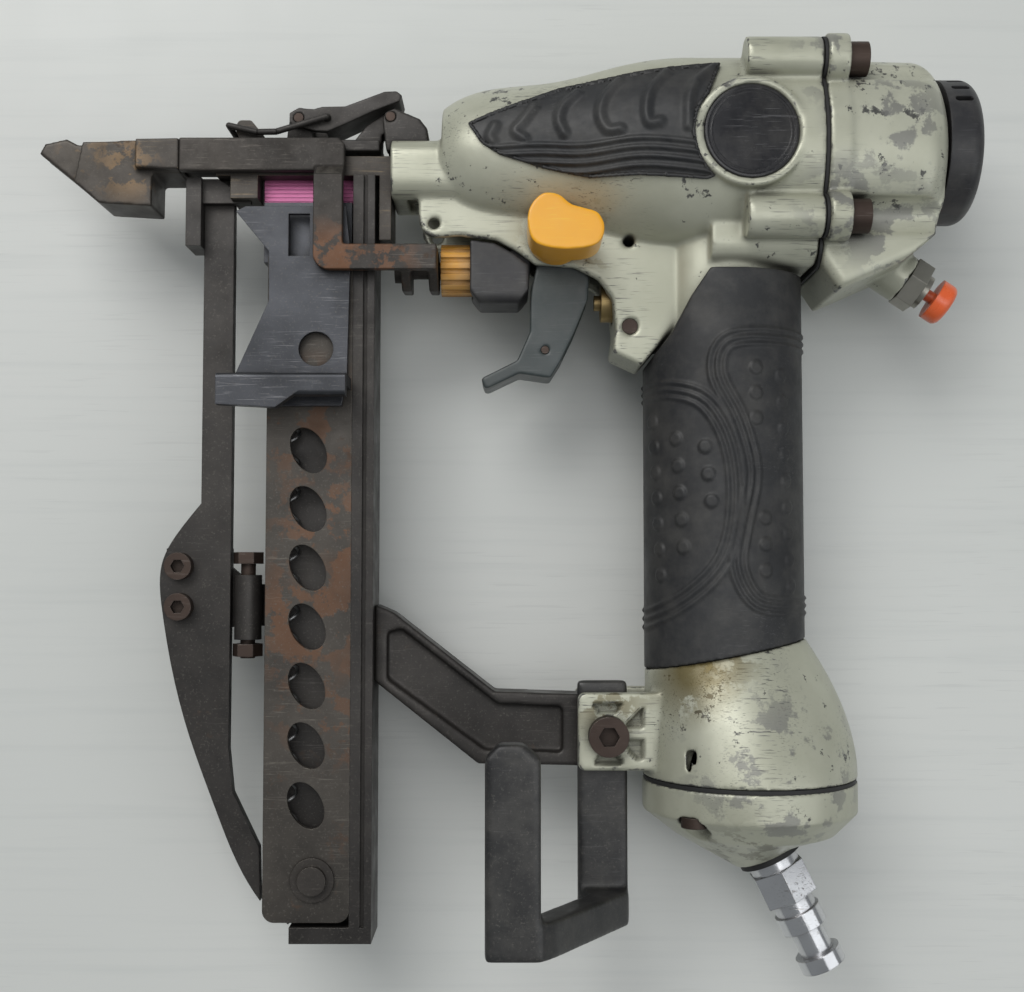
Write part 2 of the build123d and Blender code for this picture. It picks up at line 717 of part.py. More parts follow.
with BuildPart() as trigger_arm_pin:
    with BuildSketch(level(-6)):
        with Locations((ARM_PIN_X, ARM_PIN_Y)):
            Circle(1)
    extrude(amount=12)
keep(trigger_arm_pin, "trigger_arm_pin")

with BuildPart() as trigger_arm:
    with BuildSketch(level(-3)):
        with BuildLine():
            Polyline((9.4, 43.4), (10.7, 58.6), (11.6, 60.6), (21.4, 57), (21.2, 54.9), (15.2, 55.4), (12.8, 43),
                     close=True)
        make_face()
        with Locations((ARM_PIN_X, ARM_PIN_Y)):
            Circle(2.1)
        Polygon((8.9, 42), (12.4, 42), (12.8, 44), (9.5, 44), align=None)
    extrude(amount=6)
    with BuildSketch(level(-5)):
        with Locations((ARM_PIN_X, ARM_PIN_Y)):
            Circle(1.05)
    extrude(amount=10, mode=Mode.SUBTRACT)
keep(trigger_arm, "trigger_arm")

with BuildPart() as mode_knob:
    # shaft through both cheeks, collar and lever on the near side, retaining head on the far side
    with BuildSketch(level(-11)):
        with Locations((PIVOT_X, PIVOT_Y)):
            Circle(PIVOT_R)
    extrude(amount=25)
    with BuildSketch(level(-12.4)):
        with Locations((PIVOT_X, PIVOT_Y)):
            Circle(4)
    extrude(amount=3.3)
    with BuildSketch(level(9.1)):
        with Locations((PIVOT_X, PIVOT_Y)):
            Circle(7.4)
    extrude(amount=6)
    with BuildSketch(level(15.1)):
        with Locations((PIVOT_X, PIVOT_Y)):
            Circle(7.2)
        with Locations((19.8, 66.8)):
            Circle(4)
        make_hull()
    extrude(amount=13.4)
    chamfer(mode_knob.faces().sort_by(Axis.Z)[-1].edges(), 1.2)
keep(mode_knob, "mode_knob")

with BuildPart() as guide_pins:
    with BuildSketch(level(-WEB_H)):
        with Locations((32.1, 46.9)):
            Circle(1.95)
    extrude(amount=2 * WEB_H - 0.4)
keep(guide_pins, "guide_pin")

# ---------------------------------------------------------------- nose
with BuildPart() as nose_base:
    with BuildSketch(across(BEAM_LEFT, (NOSE_LOW + CHANNEL_LOW) / 2)):
        Rectangle(CHANNEL_LOW - NOSE_LOW, 2 * NOSE_H)
    extrude(amount=NECK_X - 0.1 - BEAM_LEFT)
    # closed front part with the catch for the latch bail
    with BuildSketch(level(-NOSE_H)):
        Polygon((BEAM_LEFT, NOSE_LOW), (-61.8, NOSE_LOW), (-61.8, NOSE_TOP), (BEAM_LEFT, NOSE_TOP), align=None)
    extrude(amount=2 * NOSE_H)
    with BuildSketch(level(-5)):
        with BuildLine():
            Polyline((-68.6, NOSE_TOP), (-70.0, 99.6), (-69.0, 101.6), (-65.8, 101.6), (-62.4, 97.4), (-62, NOSE_TOP),
                     close=True)
        make_face()
        fillet(vertices().group_by(Axis.Y)[-1], 1.2)
    extrude(amount=10)
    # tongue inside the contact shoe
    with BuildSketch(across(-105, 91.5)):
        RectangleRounded(5.4, 6.4, 0.8)
    extrude(amount=-105 * -1 + BEAM_LEFT)
    # walls beside the staple strip
    with BuildSketch(level(-NOSE_H)):
        Polygon((-70.65, NOSE_LOW), (-63.6, NOSE_LOW), (-63.6, 80.6), (-70.65, 80.6), align=None)
        Polygon((-32.2, NOSE_LOW), (-29.2, NOSE_LOW), (-29.2, 69.7), (-32.2, 69.7), align=None)
    extrude(amount=2 * NOSE_H)
    # channel for the blade and slot for the strip
    with BuildSketch(across(-106)):
        with Locations(((CHANNEL_LOW + CHANNEL_HIGH) / 2 - AXIS_Y, 0)):
            Rectangle(CHANNEL_HIGH - CHANNEL_LOW, 2 * CHANNEL_H)
    extrude(amount=-61.7 + 106, mode=Mode.SUBTRACT)
    with BuildSketch(level(-2.3)):
        Polygon((-63.4, 70), (-37.9, 70), (-37.9, 92.85), (-63.4, 92.85), align=None)
    extrude(amount=4.6, mode=Mode.SUBTRACT)
keep(nose_base, "nose_base")

with BuildPart() as hinge_block:
    with BuildSketch(level(-6.4)):
        with BuildLine():
            Polyline((-30.6, 93.2), (-31.2, 98), (-31.6, 101), (-30.8, 103.4), (-28.4, 104.4), (-21.9, 101.6),
                     (-19.9, 99), (-19.3, 93.6), (-28.9, 93.6), (-29, 93.2), close=True)
        make_face()
    extrude(amount=12.8)
    # recess for the neck of the body, slot for the cover's eye, hole for the pin
    with BuildSketch(across(NECK_X - 0.02, 87.6)):
        Rectangle(15.5, 24.2)
    extrude(amount=20, mode=Mode.SUBTRACT)
    with BuildSketch(level(-3.2)):
        with Locations((HINGE_X, HINGE_Y)):
            Circle(3.9)
        Polygon((-40, 92), (-27, 92), (-27, 102), (-40, 102), align=None)
    extrude(amount=6.4, mode=Mode.SUBTRACT)
    with BuildSketch(level(-8)):
        with Locations((HINGE_X, HINGE_Y)):
            Circle(PIN_R + 0.04)
    extrude(amount=16, mode=Mode.SUBTRACT)
keep(hinge_block, "hinge_block")

with BuildPart() as nose_cover:
    with BuildSketch(level(-NOSE_H)):
        Polygon((-60.7, 92.95), (-32.2, 92.95), (-32.2, NOSE_TOP), (-60.7, NOSE_TOP), align=None)
    extrude(amount=2 * NOSE_H)
    with BuildSketch(level(-2.9)):
        with BuildLine():
            Polyline((-40, 94), (-32.2, 94), (-32, 99), (-31.5, 104), (-36, 101), (-40, NOSE_TOP), close=True)
        make_face()
        with Locations((HINGE_X, HINGE_Y)):
            Circle(2.7)
        Polygon((-33, 98), (-29.5, 99.6), (-29.5, 104.9), (-33, 102.5), align=None)
    extrude(amount=5.8)
    with BuildSketch(level(-3.6)):
        with BuildLine():
            Polyline((-57, NOSE_TOP), (-56.2, 101.6), (-55.4, 104.2), (-52.4, 104.6), (-50.6, 102), (-49.6, NOSE_TOP),
                     close=True)
        make_face()
    extrude(amount=7.2)
    with BuildSketch(level(-8)):
        with Locations((HINGE_X, HINGE_Y), (LATCH_X, LATCH_Y)):
            Circle(PIN_R)
    extrude(amount=16, mode=Mode.SUBTRACT)
keep(nose_cover, "nose_cover")

with BuildPart() as cover_pins:
    with BuildSketch(level(-6.4)):
        with Locations((HINGE_X, HINGE_Y)):
            Circle(PIN_R - 0.01)
    extrude(amount=12.8)
    with BuildSketch(level(-5.7)):
        with Locations((LATCH_X, LATCH_Y)):
            Circle(PIN_R - 0.01)
    extrude(amount=11.4)
keep(cover_pins, "cover_pins")

with BuildPart() as latch_lever:
    with BuildSketch(level(-5.6)):
        with BuildLine():
            Polyline((-55.8, 100.6), (-55.8, 103.4), (-53.4, 104.8), (-49.6, 104.4), (-47.6, 105), (-41.3, 105.2),
                     (-31, 109.1), (-28, 109.2), (-26.6, 108), (-27.2, 106.5), (-34, 103.9), (-41, 100.6),
                     (-46, 98.4), (-49, 98.6), close=True)
        make_face()
    extrude(amount=11.2)
    with BuildSketch(level(-3.8)):
        Polygon((-60, 95), (-46.5, 95), (-46.5, 108), (-60, 108), align=None)
    extrude(amount=7.6, mode=Mode.SUBTRACT)
    with BuildSketch(level(-8)):
        with Locations((LATCH_X, LATCH_Y)):
            Circle(PIN_R + 0.04)
        with Locations((CRANK_X, CRANK_Y)):
            Circle(0.85)
    extrude(amount=16, mode=Mode.SUBTRACT)
keep(latch_lever, "latch_lever")

BAIL_H, BAIL_R = 6.8, 0.8
BAIL_PATH = [(CRANK_X, CRANK_Y), (-59, 98), (-64, 97.9), (-71.2, 99.6)]
with BuildPart() as latch_bail:
    # bent wire: straight lengths joined by balls, alike on both sides of the nose
    corners = [Vector(CRANK_X, CRANK_Y, MID - 3.9)]
    corners += [Vector(x, y, MID - BAIL_H) for x, y in BAIL_PATH]
    corners += [Vector(x, y, MID + BAIL_H) for x, y in reversed(BAIL_PATH)]
    corners += [Vector(CRANK_X, CRANK_Y, MID + 3.9)]
    for start, end in zip(corners[:-1], corners[1:]):
        with BuildSketch(Plane(origin=start, z_dir=end - start)):
            Circle(BAIL_R)
        extrude(amount=(end - start).length)
    for corner in corners[1:-1]:
        with Locations(corner):
            Sphere(BAIL_R + 0.01)
keep(latch_bail, "latch_bail")

# ---------------------------------------------------------------- contact lever
SHOE = [
    (NOSE_X, 93.0), (-119.6, 95.6), (-114, 96.9), (-111, 95.3), (-104.7, 95.4), (-93.9, 95.8), (SHOE_RIGHT, 96),
    (SHOE_RIGHT, 87), (-90.9, 87), (-91, 78.5), (-104.5, 79.3), (-111.4, 85.2),
]
with BuildPart() as contact_shoe:
    with BuildSketch(level(-7)):
        with BuildLine():
            Polyline(*SHOE, close=True)
        make_face()
    extrude(amount=14)
    with BuildSketch(level(7)):
        Polygon((-94.6, 87.8), (SHOE_RIGHT, 87.4), (SHOE_RIGHT, 95.5), (-94.6, 95.2), align=None)
    extrude(amount=2.8)
    # slim sides at the beak
    for side in (1, -1):
        with BuildSketch(level(side * 4.4)):
            Polygon((-125, 80), (-112, 80), (-108.5, 98), (-125, 98), align=None)
        extrude(amount=side * 6, mode=Mode.SUBTRACT)
    # pocket that slides over the tongue, exit for the staple
    with BuildSketch(across(-113.6, 91.5)):
        Rectangle(6, 7.2)
    extrude(amount=40, mode=Mode.SUBTRACT)
    with BuildSketch(across(NOSE_X - 1)):
        Rectangle(1.7, 2 * CHANNEL_H + 0.4)
    extrude(amount=20, mode=Mode.SUBTRACT)
keep(contact_shoe, "contact_shoe")

LEG_LEFT, LEG_RIGHT = -48.4, -40.9
with BuildPart() as push_lever:
    with BuildSketch(level(LEVER_LOW)):
        with BuildLine():
            Polyline((SHOE_RIGHT, 87), (LEG_RIGHT, 87), (LEG_RIGHT, 94), (-42.4, 95.6), (SHOE_RIGHT, 95.6), close=True)
        make_face()
    extrude(amount=LEVER_T)
    # leg with its step over the pusher
    with BuildSketch(across(LEG_LEFT, 0)):
        with BuildLine():
            Polyline((90, LEVER_LOW), (90, LEVER_LOW + LEVER_T), (88.4, LEVER_LOW + LEVER_T),
                     (85, LEVER_HIGH + LEVER_T), (60.7, LEVER_HIGH + LEVER_T), (60.7, LEVER_HIGH),
                     (84, LEVER_HIGH), (87.4, LEVER_LOW), close=True)
        make_face()
    extrude(amount=LEG_RIGHT - LEG_LEFT)
    fillet(push_lever.edges().filter_by(Axis.Z).filter_by_position(Axis.Y, 60, 61).sort_by(Axis.X)[0], 4)
    # arm and its two flanges that hold the adjuster's rod
    with BuildSketch(level(LEVER_HIGH)):
        Polygon((LEG_RIGHT - 2, 60.7), (-17, 60.7), (-17, 67.3), (LEG_RIGHT - 2, 67.3), align=None)
    extrude(amount=LEVER_T)
    for left in (-26.4, -19.4):
        with BuildSketch(across(left, 0)):
            with BuildLine():
                Polyline((67.3, LEVER_HIGH + 1), (60.7, LEVER_HIGH + 1), (56.6, 5), (57.4, -4), (66, -4), (67.3, 3),
                         close=True)
            make_face()
        extrude(amount=2.4)
    with BuildSketch(across(-30, DIAL_Y)):
        Circle(ROD_R + 0.02)
    extrude(amount=20, mode=Mode.SUBTRACT)
keep(push_lever, "push_lever")

with BuildPart() as adjuster_rod:
    with BuildSketch(across(-28, DIAL_Y)):
        Circle(ROD_R)
    extrude(amount=24.5)
    with BuildSketch(across(-28.6, DIAL_Y)):
        Circle(3.2)
    extrude(amount=2.2)
keep(adjuster_rod, "adjuster_rod")

with BuildPart() as adjuster_dial:
    with BuildSketch(across(DIAL_FRONT, DIAL_Y)):
        Circle(DIAL_R)
        with PolarLocations(DIAL_R, 14):
            Circle(0.7, mode=Mode.SUBTRACT)
    extrude(amount=DIAL_BACK - DIAL_FRONT)
    with BuildSketch(across(DIAL_FRONT - 1, DIAL_Y)):
        Circle(ROD_R + 0.04)
    extrude(amount=12, mode=Mode.SUBTRACT)
keep(adjuster_dial, "adjuster_dial")

with BuildPart() as front_cover:
    with BuildSketch(level(-8.4)):
        with BuildLine():
            Polyline((-8.8, 69.5), (-2.5, 68.6), (2.3, 66), (6.4, 62.9), (6.2, 56.6), (3.6, 53.2), (-6.4, 53.2),
                     (-8.8, 56.5), close=True)
        make_face()
    extrude(amount=16.8)
    fillet(front_cover.edges().filter_by(Axis.X).group_by(Axis.Y)[0], 2.5)
    with BuildSketch(level(-6.55)):
        Polygon((1.8, 58), (6.3, 58), (6.9, 66), (6.9, 74.6), (1.8, 74.6), align=None)
    extrude(amount=13.1)
    with BuildSketch(across(-12, DIAL_Y)):
        Circle(7.2)
    extrude(amount=13.4, mode=Mode.SUBTRACT)
    with BuildSketch(across(0, DIAL_Y)):
        Circle(4.6)
    extrude(amount=5.4, mode=Mode.SUBTRACT)
keep(front_cover, "front_cover")

lever_spring = coil((DIAL_BACK + 0.55, DIAL_Y, MID), (1, 0, 0), 3.5, 11.6, 5, 0.45)
keep(lever_spring, "lever_spring")

# ---------------------------------------------------------------- magazine
with BuildPart() as magazine_rail:
    with BuildSketch(Plane(origin=(0, FOOT_Y, MID), x_dir=(1, 0, 0), z_dir=(0, -1, 0))):
        with BuildLine():
            Polyline(
                (COVER_RIGHT, 2.4), (COVER_RIGHT, COVER_H), (RAIL_RIGHT, COVER_H), (RAIL_RIGHT, -COVER_H),
                (COVER_RIGHT, -COVER_H), (COVER_RIGHT, -2.4), (RAIL_LEFT, -2.4), (RAIL_LEFT, 2.4), close=True,
            )
        make_face()
        for side in (1, -1):
            with Locations((-35.6, side * COVER_H)):
                Rectangle(1, 1.6, mode=Mode.SUBTRACT)
    extrude(amount=FOOT_Y - NOSE_LOW + 0.05)
    with BuildSketch(level(-COVER_H)):
        Polygon((-53.8, RAIL_BOTTOM), (RAIL_RIGHT, RAIL_BOTTOM), (RAIL_RIGHT, FOOT_Y), (-53.8, FOOT_Y), align=None)
    extrude(amount=2 * COVER_H)
keep(magazine_rail, "magazine_rail")

with BuildPart() as magazine_core:
    with BuildSketch(level(-CORE_H)):
        Polygon((-58.7, FOOT_Y), (-39.1, FOOT_Y), (-39.1, STAPLE_TOP - 0.1), (-63.38, STAPLE_TOP - 0.1), (-63.38, 80.7),
                (-58.7, 80.7), align=None)
        with Locations((RIVET_X, RIVET_Y)):
            Circle(2.5, mode=Mode.SUBTRACT)
    extrude(amount=2 * CORE_H)
keep(magazine_core, "magazine_core")


def magazine_cover(side):
    """Side sheet of the magazine: near (side 1) with its row of oval holes, far (side -1) plain."""
    with BuildPart() as sheet:
        with BuildSketch(level(side * (COVER_H - SHEET))):
            Polygon((COVER_LEFT, COVER_BOTTOM), (COVER_RIGHT, COVER_BOTTOM), (COVER_RIGHT, COVER_TOP),
                    (COVER_LEFT, COVER_TOP), align=None)
            fillet(vertices().group_by(Axis.Y)[0], 3)
            with Locations((RIVET_X, RIVET_Y)):
                Circle(2.5, mode=Mode.SUBTRACT)
            if side > 0:
                with Locations(*COVER_HOLES):
                    Ellipse(4.2, 6.2, rotation=28, mode=Mode.SUBTRACT)
        extrude(amount=side * SHEET)
    return sheet


keep(magazine_cover(1), "magazine_cover_near")
keep(magazine_cover(-1), "magazine_cover_far")

with BuildPart() as magazine_rivet:
    with BuildSketch(level(-9.4)):
        with Locations((RIVET_X, RIVET_Y)):
            Circle(2.48)
    extrude(amount=18.8)
    for low, high, radius in ((COVER_H, COVER_H + 0.8, 5.5), (COVER_H + 0.8, COVER_H + 2.2, 3.6),
                              (-COVER_H, -COVER_H - 1.6, 4)):
        with BuildSketch(level(low)):
            with Locations((RIVET_X, RIVET_Y)):
                Circle(radius)
        extrude(amount=high - low)
keep(magazine_rivet, "magazine_rivet")

with BuildPart() as staples:
    for i in range(STAPLE_COUNT):
        with BuildSketch(along_y(STAPLE_TOP - i * STAPLE_PITCH)):
            Polygon((STAPLE_LEFT, -CROWN_H), (STAPLE_RIGHT, -CROWN_H), (STAPLE_RIGHT, CROWN_H),
                    (STAPLE_LEFT, CROWN_H), (STAPLE_LEFT, CROWN_H - WIRE_T), (STAPLE_RIGHT - WIRE_T, CROWN_H - WIRE_T),
                    (STAPLE_RIGHT - WIRE_T, WIRE_T - CROWN_H), (STAPLE_LEFT, WIRE_T - CROWN_H), align=None)
        extrude(amount=-STAPLE_PITCH + 0.1)
keep(staples, "staples")

# ---------------------------------------------------------------- pusher
BLOCK_TOP, BLOCK_BOTTOM = 79.7, 64.0
BLOCK_LEFT = -62.0
with BuildPart() as pusher_block:
    with BuildSketch(level(-5.8)):
        Polygon((BLOCK_LEFT, BLOCK_BOTTOM), (-39.3, BLOCK_BOTTOM), (-39.3, BLOCK_TOP), (BLOCK_LEFT, BLOCK_TOP),
                align=None)
    extrude(amount=11.6)
    with BuildSketch(level(-1.45)):
        Polygon((-59.2, 60), (-38, 60), (-38, 90), (-59.2, 90), align=None)
    extrude(amount=2.9, mode=Mode.SUBTRACT)
    with BuildSketch(level(5.8)):
        Polygon((BLOCK_LEFT, 69.2), (-60.9, 69.2), (-60.9, 76), (BLOCK_LEFT, 76), align=None)
    extrude(amount=2.6)
keep(pusher_block, "pusher_block")

with BuildPart() as pusher_plate:
    with BuildSketch(level(8.4)):
        with BuildLine():
            Polyline((-66, 77.6), (-68.5, 76.3), (-60, 66), (-59.9, 53.2), (-68.1, 34.8), (-59, 34.8), (-57, 26.4),
                     (-41.2, 26.4), (-39.9, 34.8), (-39.2, 66), (-40.5, 77.6), close=True)
        make_face()
        with Locations((-52.3, 70.2)):
            Rectangle(5.4, 10.9, mode=Mode.SUBTRACT)
        with Locations((-47.8, 40.9)):
            Circle(4.4, mode=Mode.SUBTRACT)
    extrude(amount=1.6)
    # thumb tab folded up from the plate
    with BuildSketch(level(10)):
        Polygon((-70.6, 30.4), (-38.8, 30.4), (-38.8, 33.2), (-70.6, 33.2), align=None)
    extrude(amount=12)
    with BuildSketch(level(18.8)):
        with BuildLine():
            Polyline((-70.6, 33.2), (-70.6, 25.4), (-56, 24.6), (-51.8, 27.6), (-38.8, 27.6), (-38.8, 33.2), close=True)
        make_face()
    extrude(amount=3.2)
    fillet(pusher_plate.edges().filter_by(Axis.X).group_by(Axis.Z)[-1], 1.2)
keep(pusher_plate, "pusher_plate")

SPRING_TURNS = 22
pusher_spring = coil((-54.6, FOOT_Y + 0.6, MID + 3.9), (0, 1, 0), 1.9, BLOCK_BOTTOM - FOOT_Y - 1.2, SPRING_TURNS, 0.4)
keep(pusher_spring, "pusher_spring")

# ---------------------------------------------------------------- guard beside the magazine
GUARD_H = 1.6
with BuildPart() as guard_plate:
    with BuildSketch(level(-GUARD_H)):
        with BuildLine():
            Polyline((-70.7, NOSE_LOW), (-70.6, 29), (-70.7, -61), (-69.5, -72), (-62.6, -86), (-62.2, -99.4))
            Spline((-62.2, -99.4), (-66.4, -93), (-74.3, -75), (-81, -57), (-85.8, -39), (-88.1, -26), (-88.1, -12.6),
                   (-84.2, -5.4), (-78.4, 2))
            Polyline((-78.4, 2), (-78.4, NOSE_LOW), (-70.7, NOSE_LOW))
        make_face()
        with Locations((-83.6, -14.2), (-83.5, -24.6)):
            Circle(2.05, mode=Mode.SUBTRACT)
    extrude(amount=2 * GUARD_H)
keep(guard_plate, "guard_plate")

with BuildPart() as guard_top_bracket:
    with BuildSketch(level(-5.6)):
        Polygon((-82.4, 86.4), (-82.4, 68.5), (-78.45, 68.5), (-78.45, 86.4), align=None)
    extrude(amount=11.2)
    with BuildSketch(level(GUARD_H)):
        Polygon((-79, 86.4), (-79, 80), (-66, 80), (-66, 80.55), (-70.75, 80.55), (-70.75, 83.95), (-74.45, 86.4),
                align=None)
    extrude(amount=2.4)
    with BuildSketch(level(-GUARD_H - 0.02)):
        Polygon((-78.6, 86.4), (-78.6, 70), (-72, 70), (-72, 84.6), (-74.45, 86.4), align=None)
    extrude(amount=-2.4)
keep(guard_top_bracket, "guard_top_bracket")

BARREL_X = -66.3
with BuildPart() as guard_bracket:
    with BuildSketch(along_y(-33.1, BARREL_X)):
        Circle(3.5)
    extrude(amount=16.6)
    with BuildSketch(level(-GUARD_H - 0.02)):
        Polygon((-88, -30), (-67, -30), (-67, -18), (-71, -14.5), (-71, -9.6), (-88, -9.6), align=None)
    extrude(amount=-2.4)
    with BuildSketch(level(-9.7)):
        Polygon((-68.4, -30), (-66, -30), (-66, -19), (-68.4, -19), align=None)
    extrude(amount=9.7)
    with BuildSketch(level(-9.7)):
        Polygon((-68.4, -30), (-46, -30), (-46, -19), (-68.4, -19), align=None)
    extrude(amount=1.66)
    with BuildSketch(along_y(-40, BARREL_X)):
        Circle(1.95)
    extrude(amount=40, mode=Mode.SUBTRACT)
    with BuildSketch(level(-12)):
        with Locations((-83.6, -14.2), (-83.5, -24.6)):
            Circle(1.98)
    extrude(amount=12, mode=Mode.SUBTRACT)
keep(guard_bracket, "guard_bracket")

with BuildPart() as guard_bolt:
    with BuildSketch(along_y(-37.9, BARREL_X)):
        Circle(1.9)
    extrude(amount=27)
    with BuildSketch(along_y(-13.6, BARREL_X)):
        RegularPolygon(3.9, 6)
    extrude(amount=3)
    with BuildSketch(along_y(-37.4, BARREL_X)):
        RegularPolygon(3.9, 6)
        Circle(1.93, mode=Mode.SUBTRACT)
    extrude(amount=3.2)

screws = socket_screws(level(GUARD_H + 0.02), [(-83.6, -14.2), (-83.5, -24.6)], 1.95, 6.5, 3.5, 3.2, 1.8)
with BuildPart() as guard_fasteners:
    add(guard_bolt.part)
    add(screws.part)
keep(guard_fasteners, "guard_fasteners")

# ---------------------------------------------------------------- magazine arm, belt hook and their bolt
with BuildPart() as magazine_arm:
    with BuildSketch(level(-EAR_IN + 0.02)):
        with BuildLine():
            Polyline((RAIL_RIGHT + 0.02, -24), (-28.3, -26.1), (-2.4, -46.2), (33, -47.4), (34.6, -50), (34.6, -63), (33, -65.3),
                     (-6.7, -64.5), (RAIL_RIGHT + 0.02, -43.6), close=True)
        make_face()
        with Locations((LUG_X, LUG_Y)):
            Circle(LUG_BOLT_R + 0.05, mode=Mode.SUBTRACT)
    extrude(amount=EAR_IN + 3.3)
    with BuildSketch(level(0.9)):
        with BuildLine():
            Polyline((-30, -31), (-26.2, -30.2), (-1.6, -49.2), (15, -50), (15, -61.6), (-5, -61), (-30, -43), close=True)
        make_face()
        fillet(vertices(), 1.2)
    extrude(amount=6, mode=Mode.SUBTRACT)
keep(magazine_arm, "magazine_arm")

HOOK_LOW, HOOK_HIGH, HOOK_TOP = 3.4, 6.95, 41.0
with BuildPart() as belt_hook:
    with BuildSketch(level(HOOK_LOW)):
        Polygon((18.5, -96), (31.2, -96), (31.2, -43.1), (18.5, -43.1), align=None)
        with Locations((LUG_X, LUG_Y)):
            Circle(LUG_BOLT_R + 0.05, mode=Mode.SUBTRACT)
    extrude(amount=HOOK_HIGH - HOOK_LOW)
    with BuildSketch(along_y(-103.6)):
        with BuildLine():
            Polyline((31.2, -HOOK_LOW), (31.2, -9.5), (12, -37.5), (8.6, -HOOK_TOP), (-4.2, -HOOK_TOP), (-4.2, -35),
                     (3.4, -35), (5.4, -33.6), (21.5, -10.4), (18.5, -HOOK_HIGH), (18.5, -HOOK_LOW), close=True)
        make_face()
    extrude(amount=8.6)
    with BuildSketch(level(35)):
        with BuildLine():
            Polyline((-4.2, -103.6), (-4.2, -58), (-1, -54.6), (4.6, -54.6), (8.6, -58), (8.6, -103.6), close=True)
        make_face()
    extrude(amount=HOOK_TOP - 35)
keep(belt_hook, "belt_hook")

with BuildPart() as arm_bolt:
    with BuildSketch(level(-16.5)):
        with Locations((LUG_X, LUG_Y)):
            Circle(LUG_BOLT_R)
    extrude(amount=EAR_OUT + 17)
    with BuildSketch(level(EAR_OUT + 0.02)):
        with Locations((LUG_X, LUG_Y)):
            Circle(5)
    extrude(amount=4)
    with BuildSketch(level(EAR_OUT + 4.02)):
        with Locations((LUG_X, LUG_Y)):
            RegularPolygon(2.6, 6)
    extrude(amount=-2.2, mode=Mode.SUBTRACT)
    with BuildSketch(level(-EAR_OUT - 0.02)):
        with Locations((LUG_X, LUG_Y)):
            RegularPolygon(5.6, 6)
            Circle(LUG_BOLT_R + 0.02, mode=Mode.SUBTRACT)
    extrude(amount=-4.6)
keep(arm_bolt, "arm_bolt")
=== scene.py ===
import math

import bmesh
import bpy
import numpy as np
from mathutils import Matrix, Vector


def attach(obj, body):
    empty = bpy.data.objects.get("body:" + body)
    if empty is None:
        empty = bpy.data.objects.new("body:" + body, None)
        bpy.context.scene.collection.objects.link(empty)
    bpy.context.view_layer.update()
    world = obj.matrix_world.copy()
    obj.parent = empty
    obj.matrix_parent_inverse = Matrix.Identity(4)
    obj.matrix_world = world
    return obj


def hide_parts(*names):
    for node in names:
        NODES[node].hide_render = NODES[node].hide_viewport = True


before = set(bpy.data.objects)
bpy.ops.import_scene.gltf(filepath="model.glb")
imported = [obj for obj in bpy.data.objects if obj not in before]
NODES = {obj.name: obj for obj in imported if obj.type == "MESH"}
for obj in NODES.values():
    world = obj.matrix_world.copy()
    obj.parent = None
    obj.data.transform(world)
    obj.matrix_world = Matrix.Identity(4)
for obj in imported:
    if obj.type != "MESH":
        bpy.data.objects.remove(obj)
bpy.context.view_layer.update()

MM = 0.001
MID = 0.02748  # height of the tool's mid-plane above the table
scene = bpy.context.scene


# ---------------------------------------------------------------- materials
EDGE = 0.00035  # radius of a worn edge on a CAD node, in metres


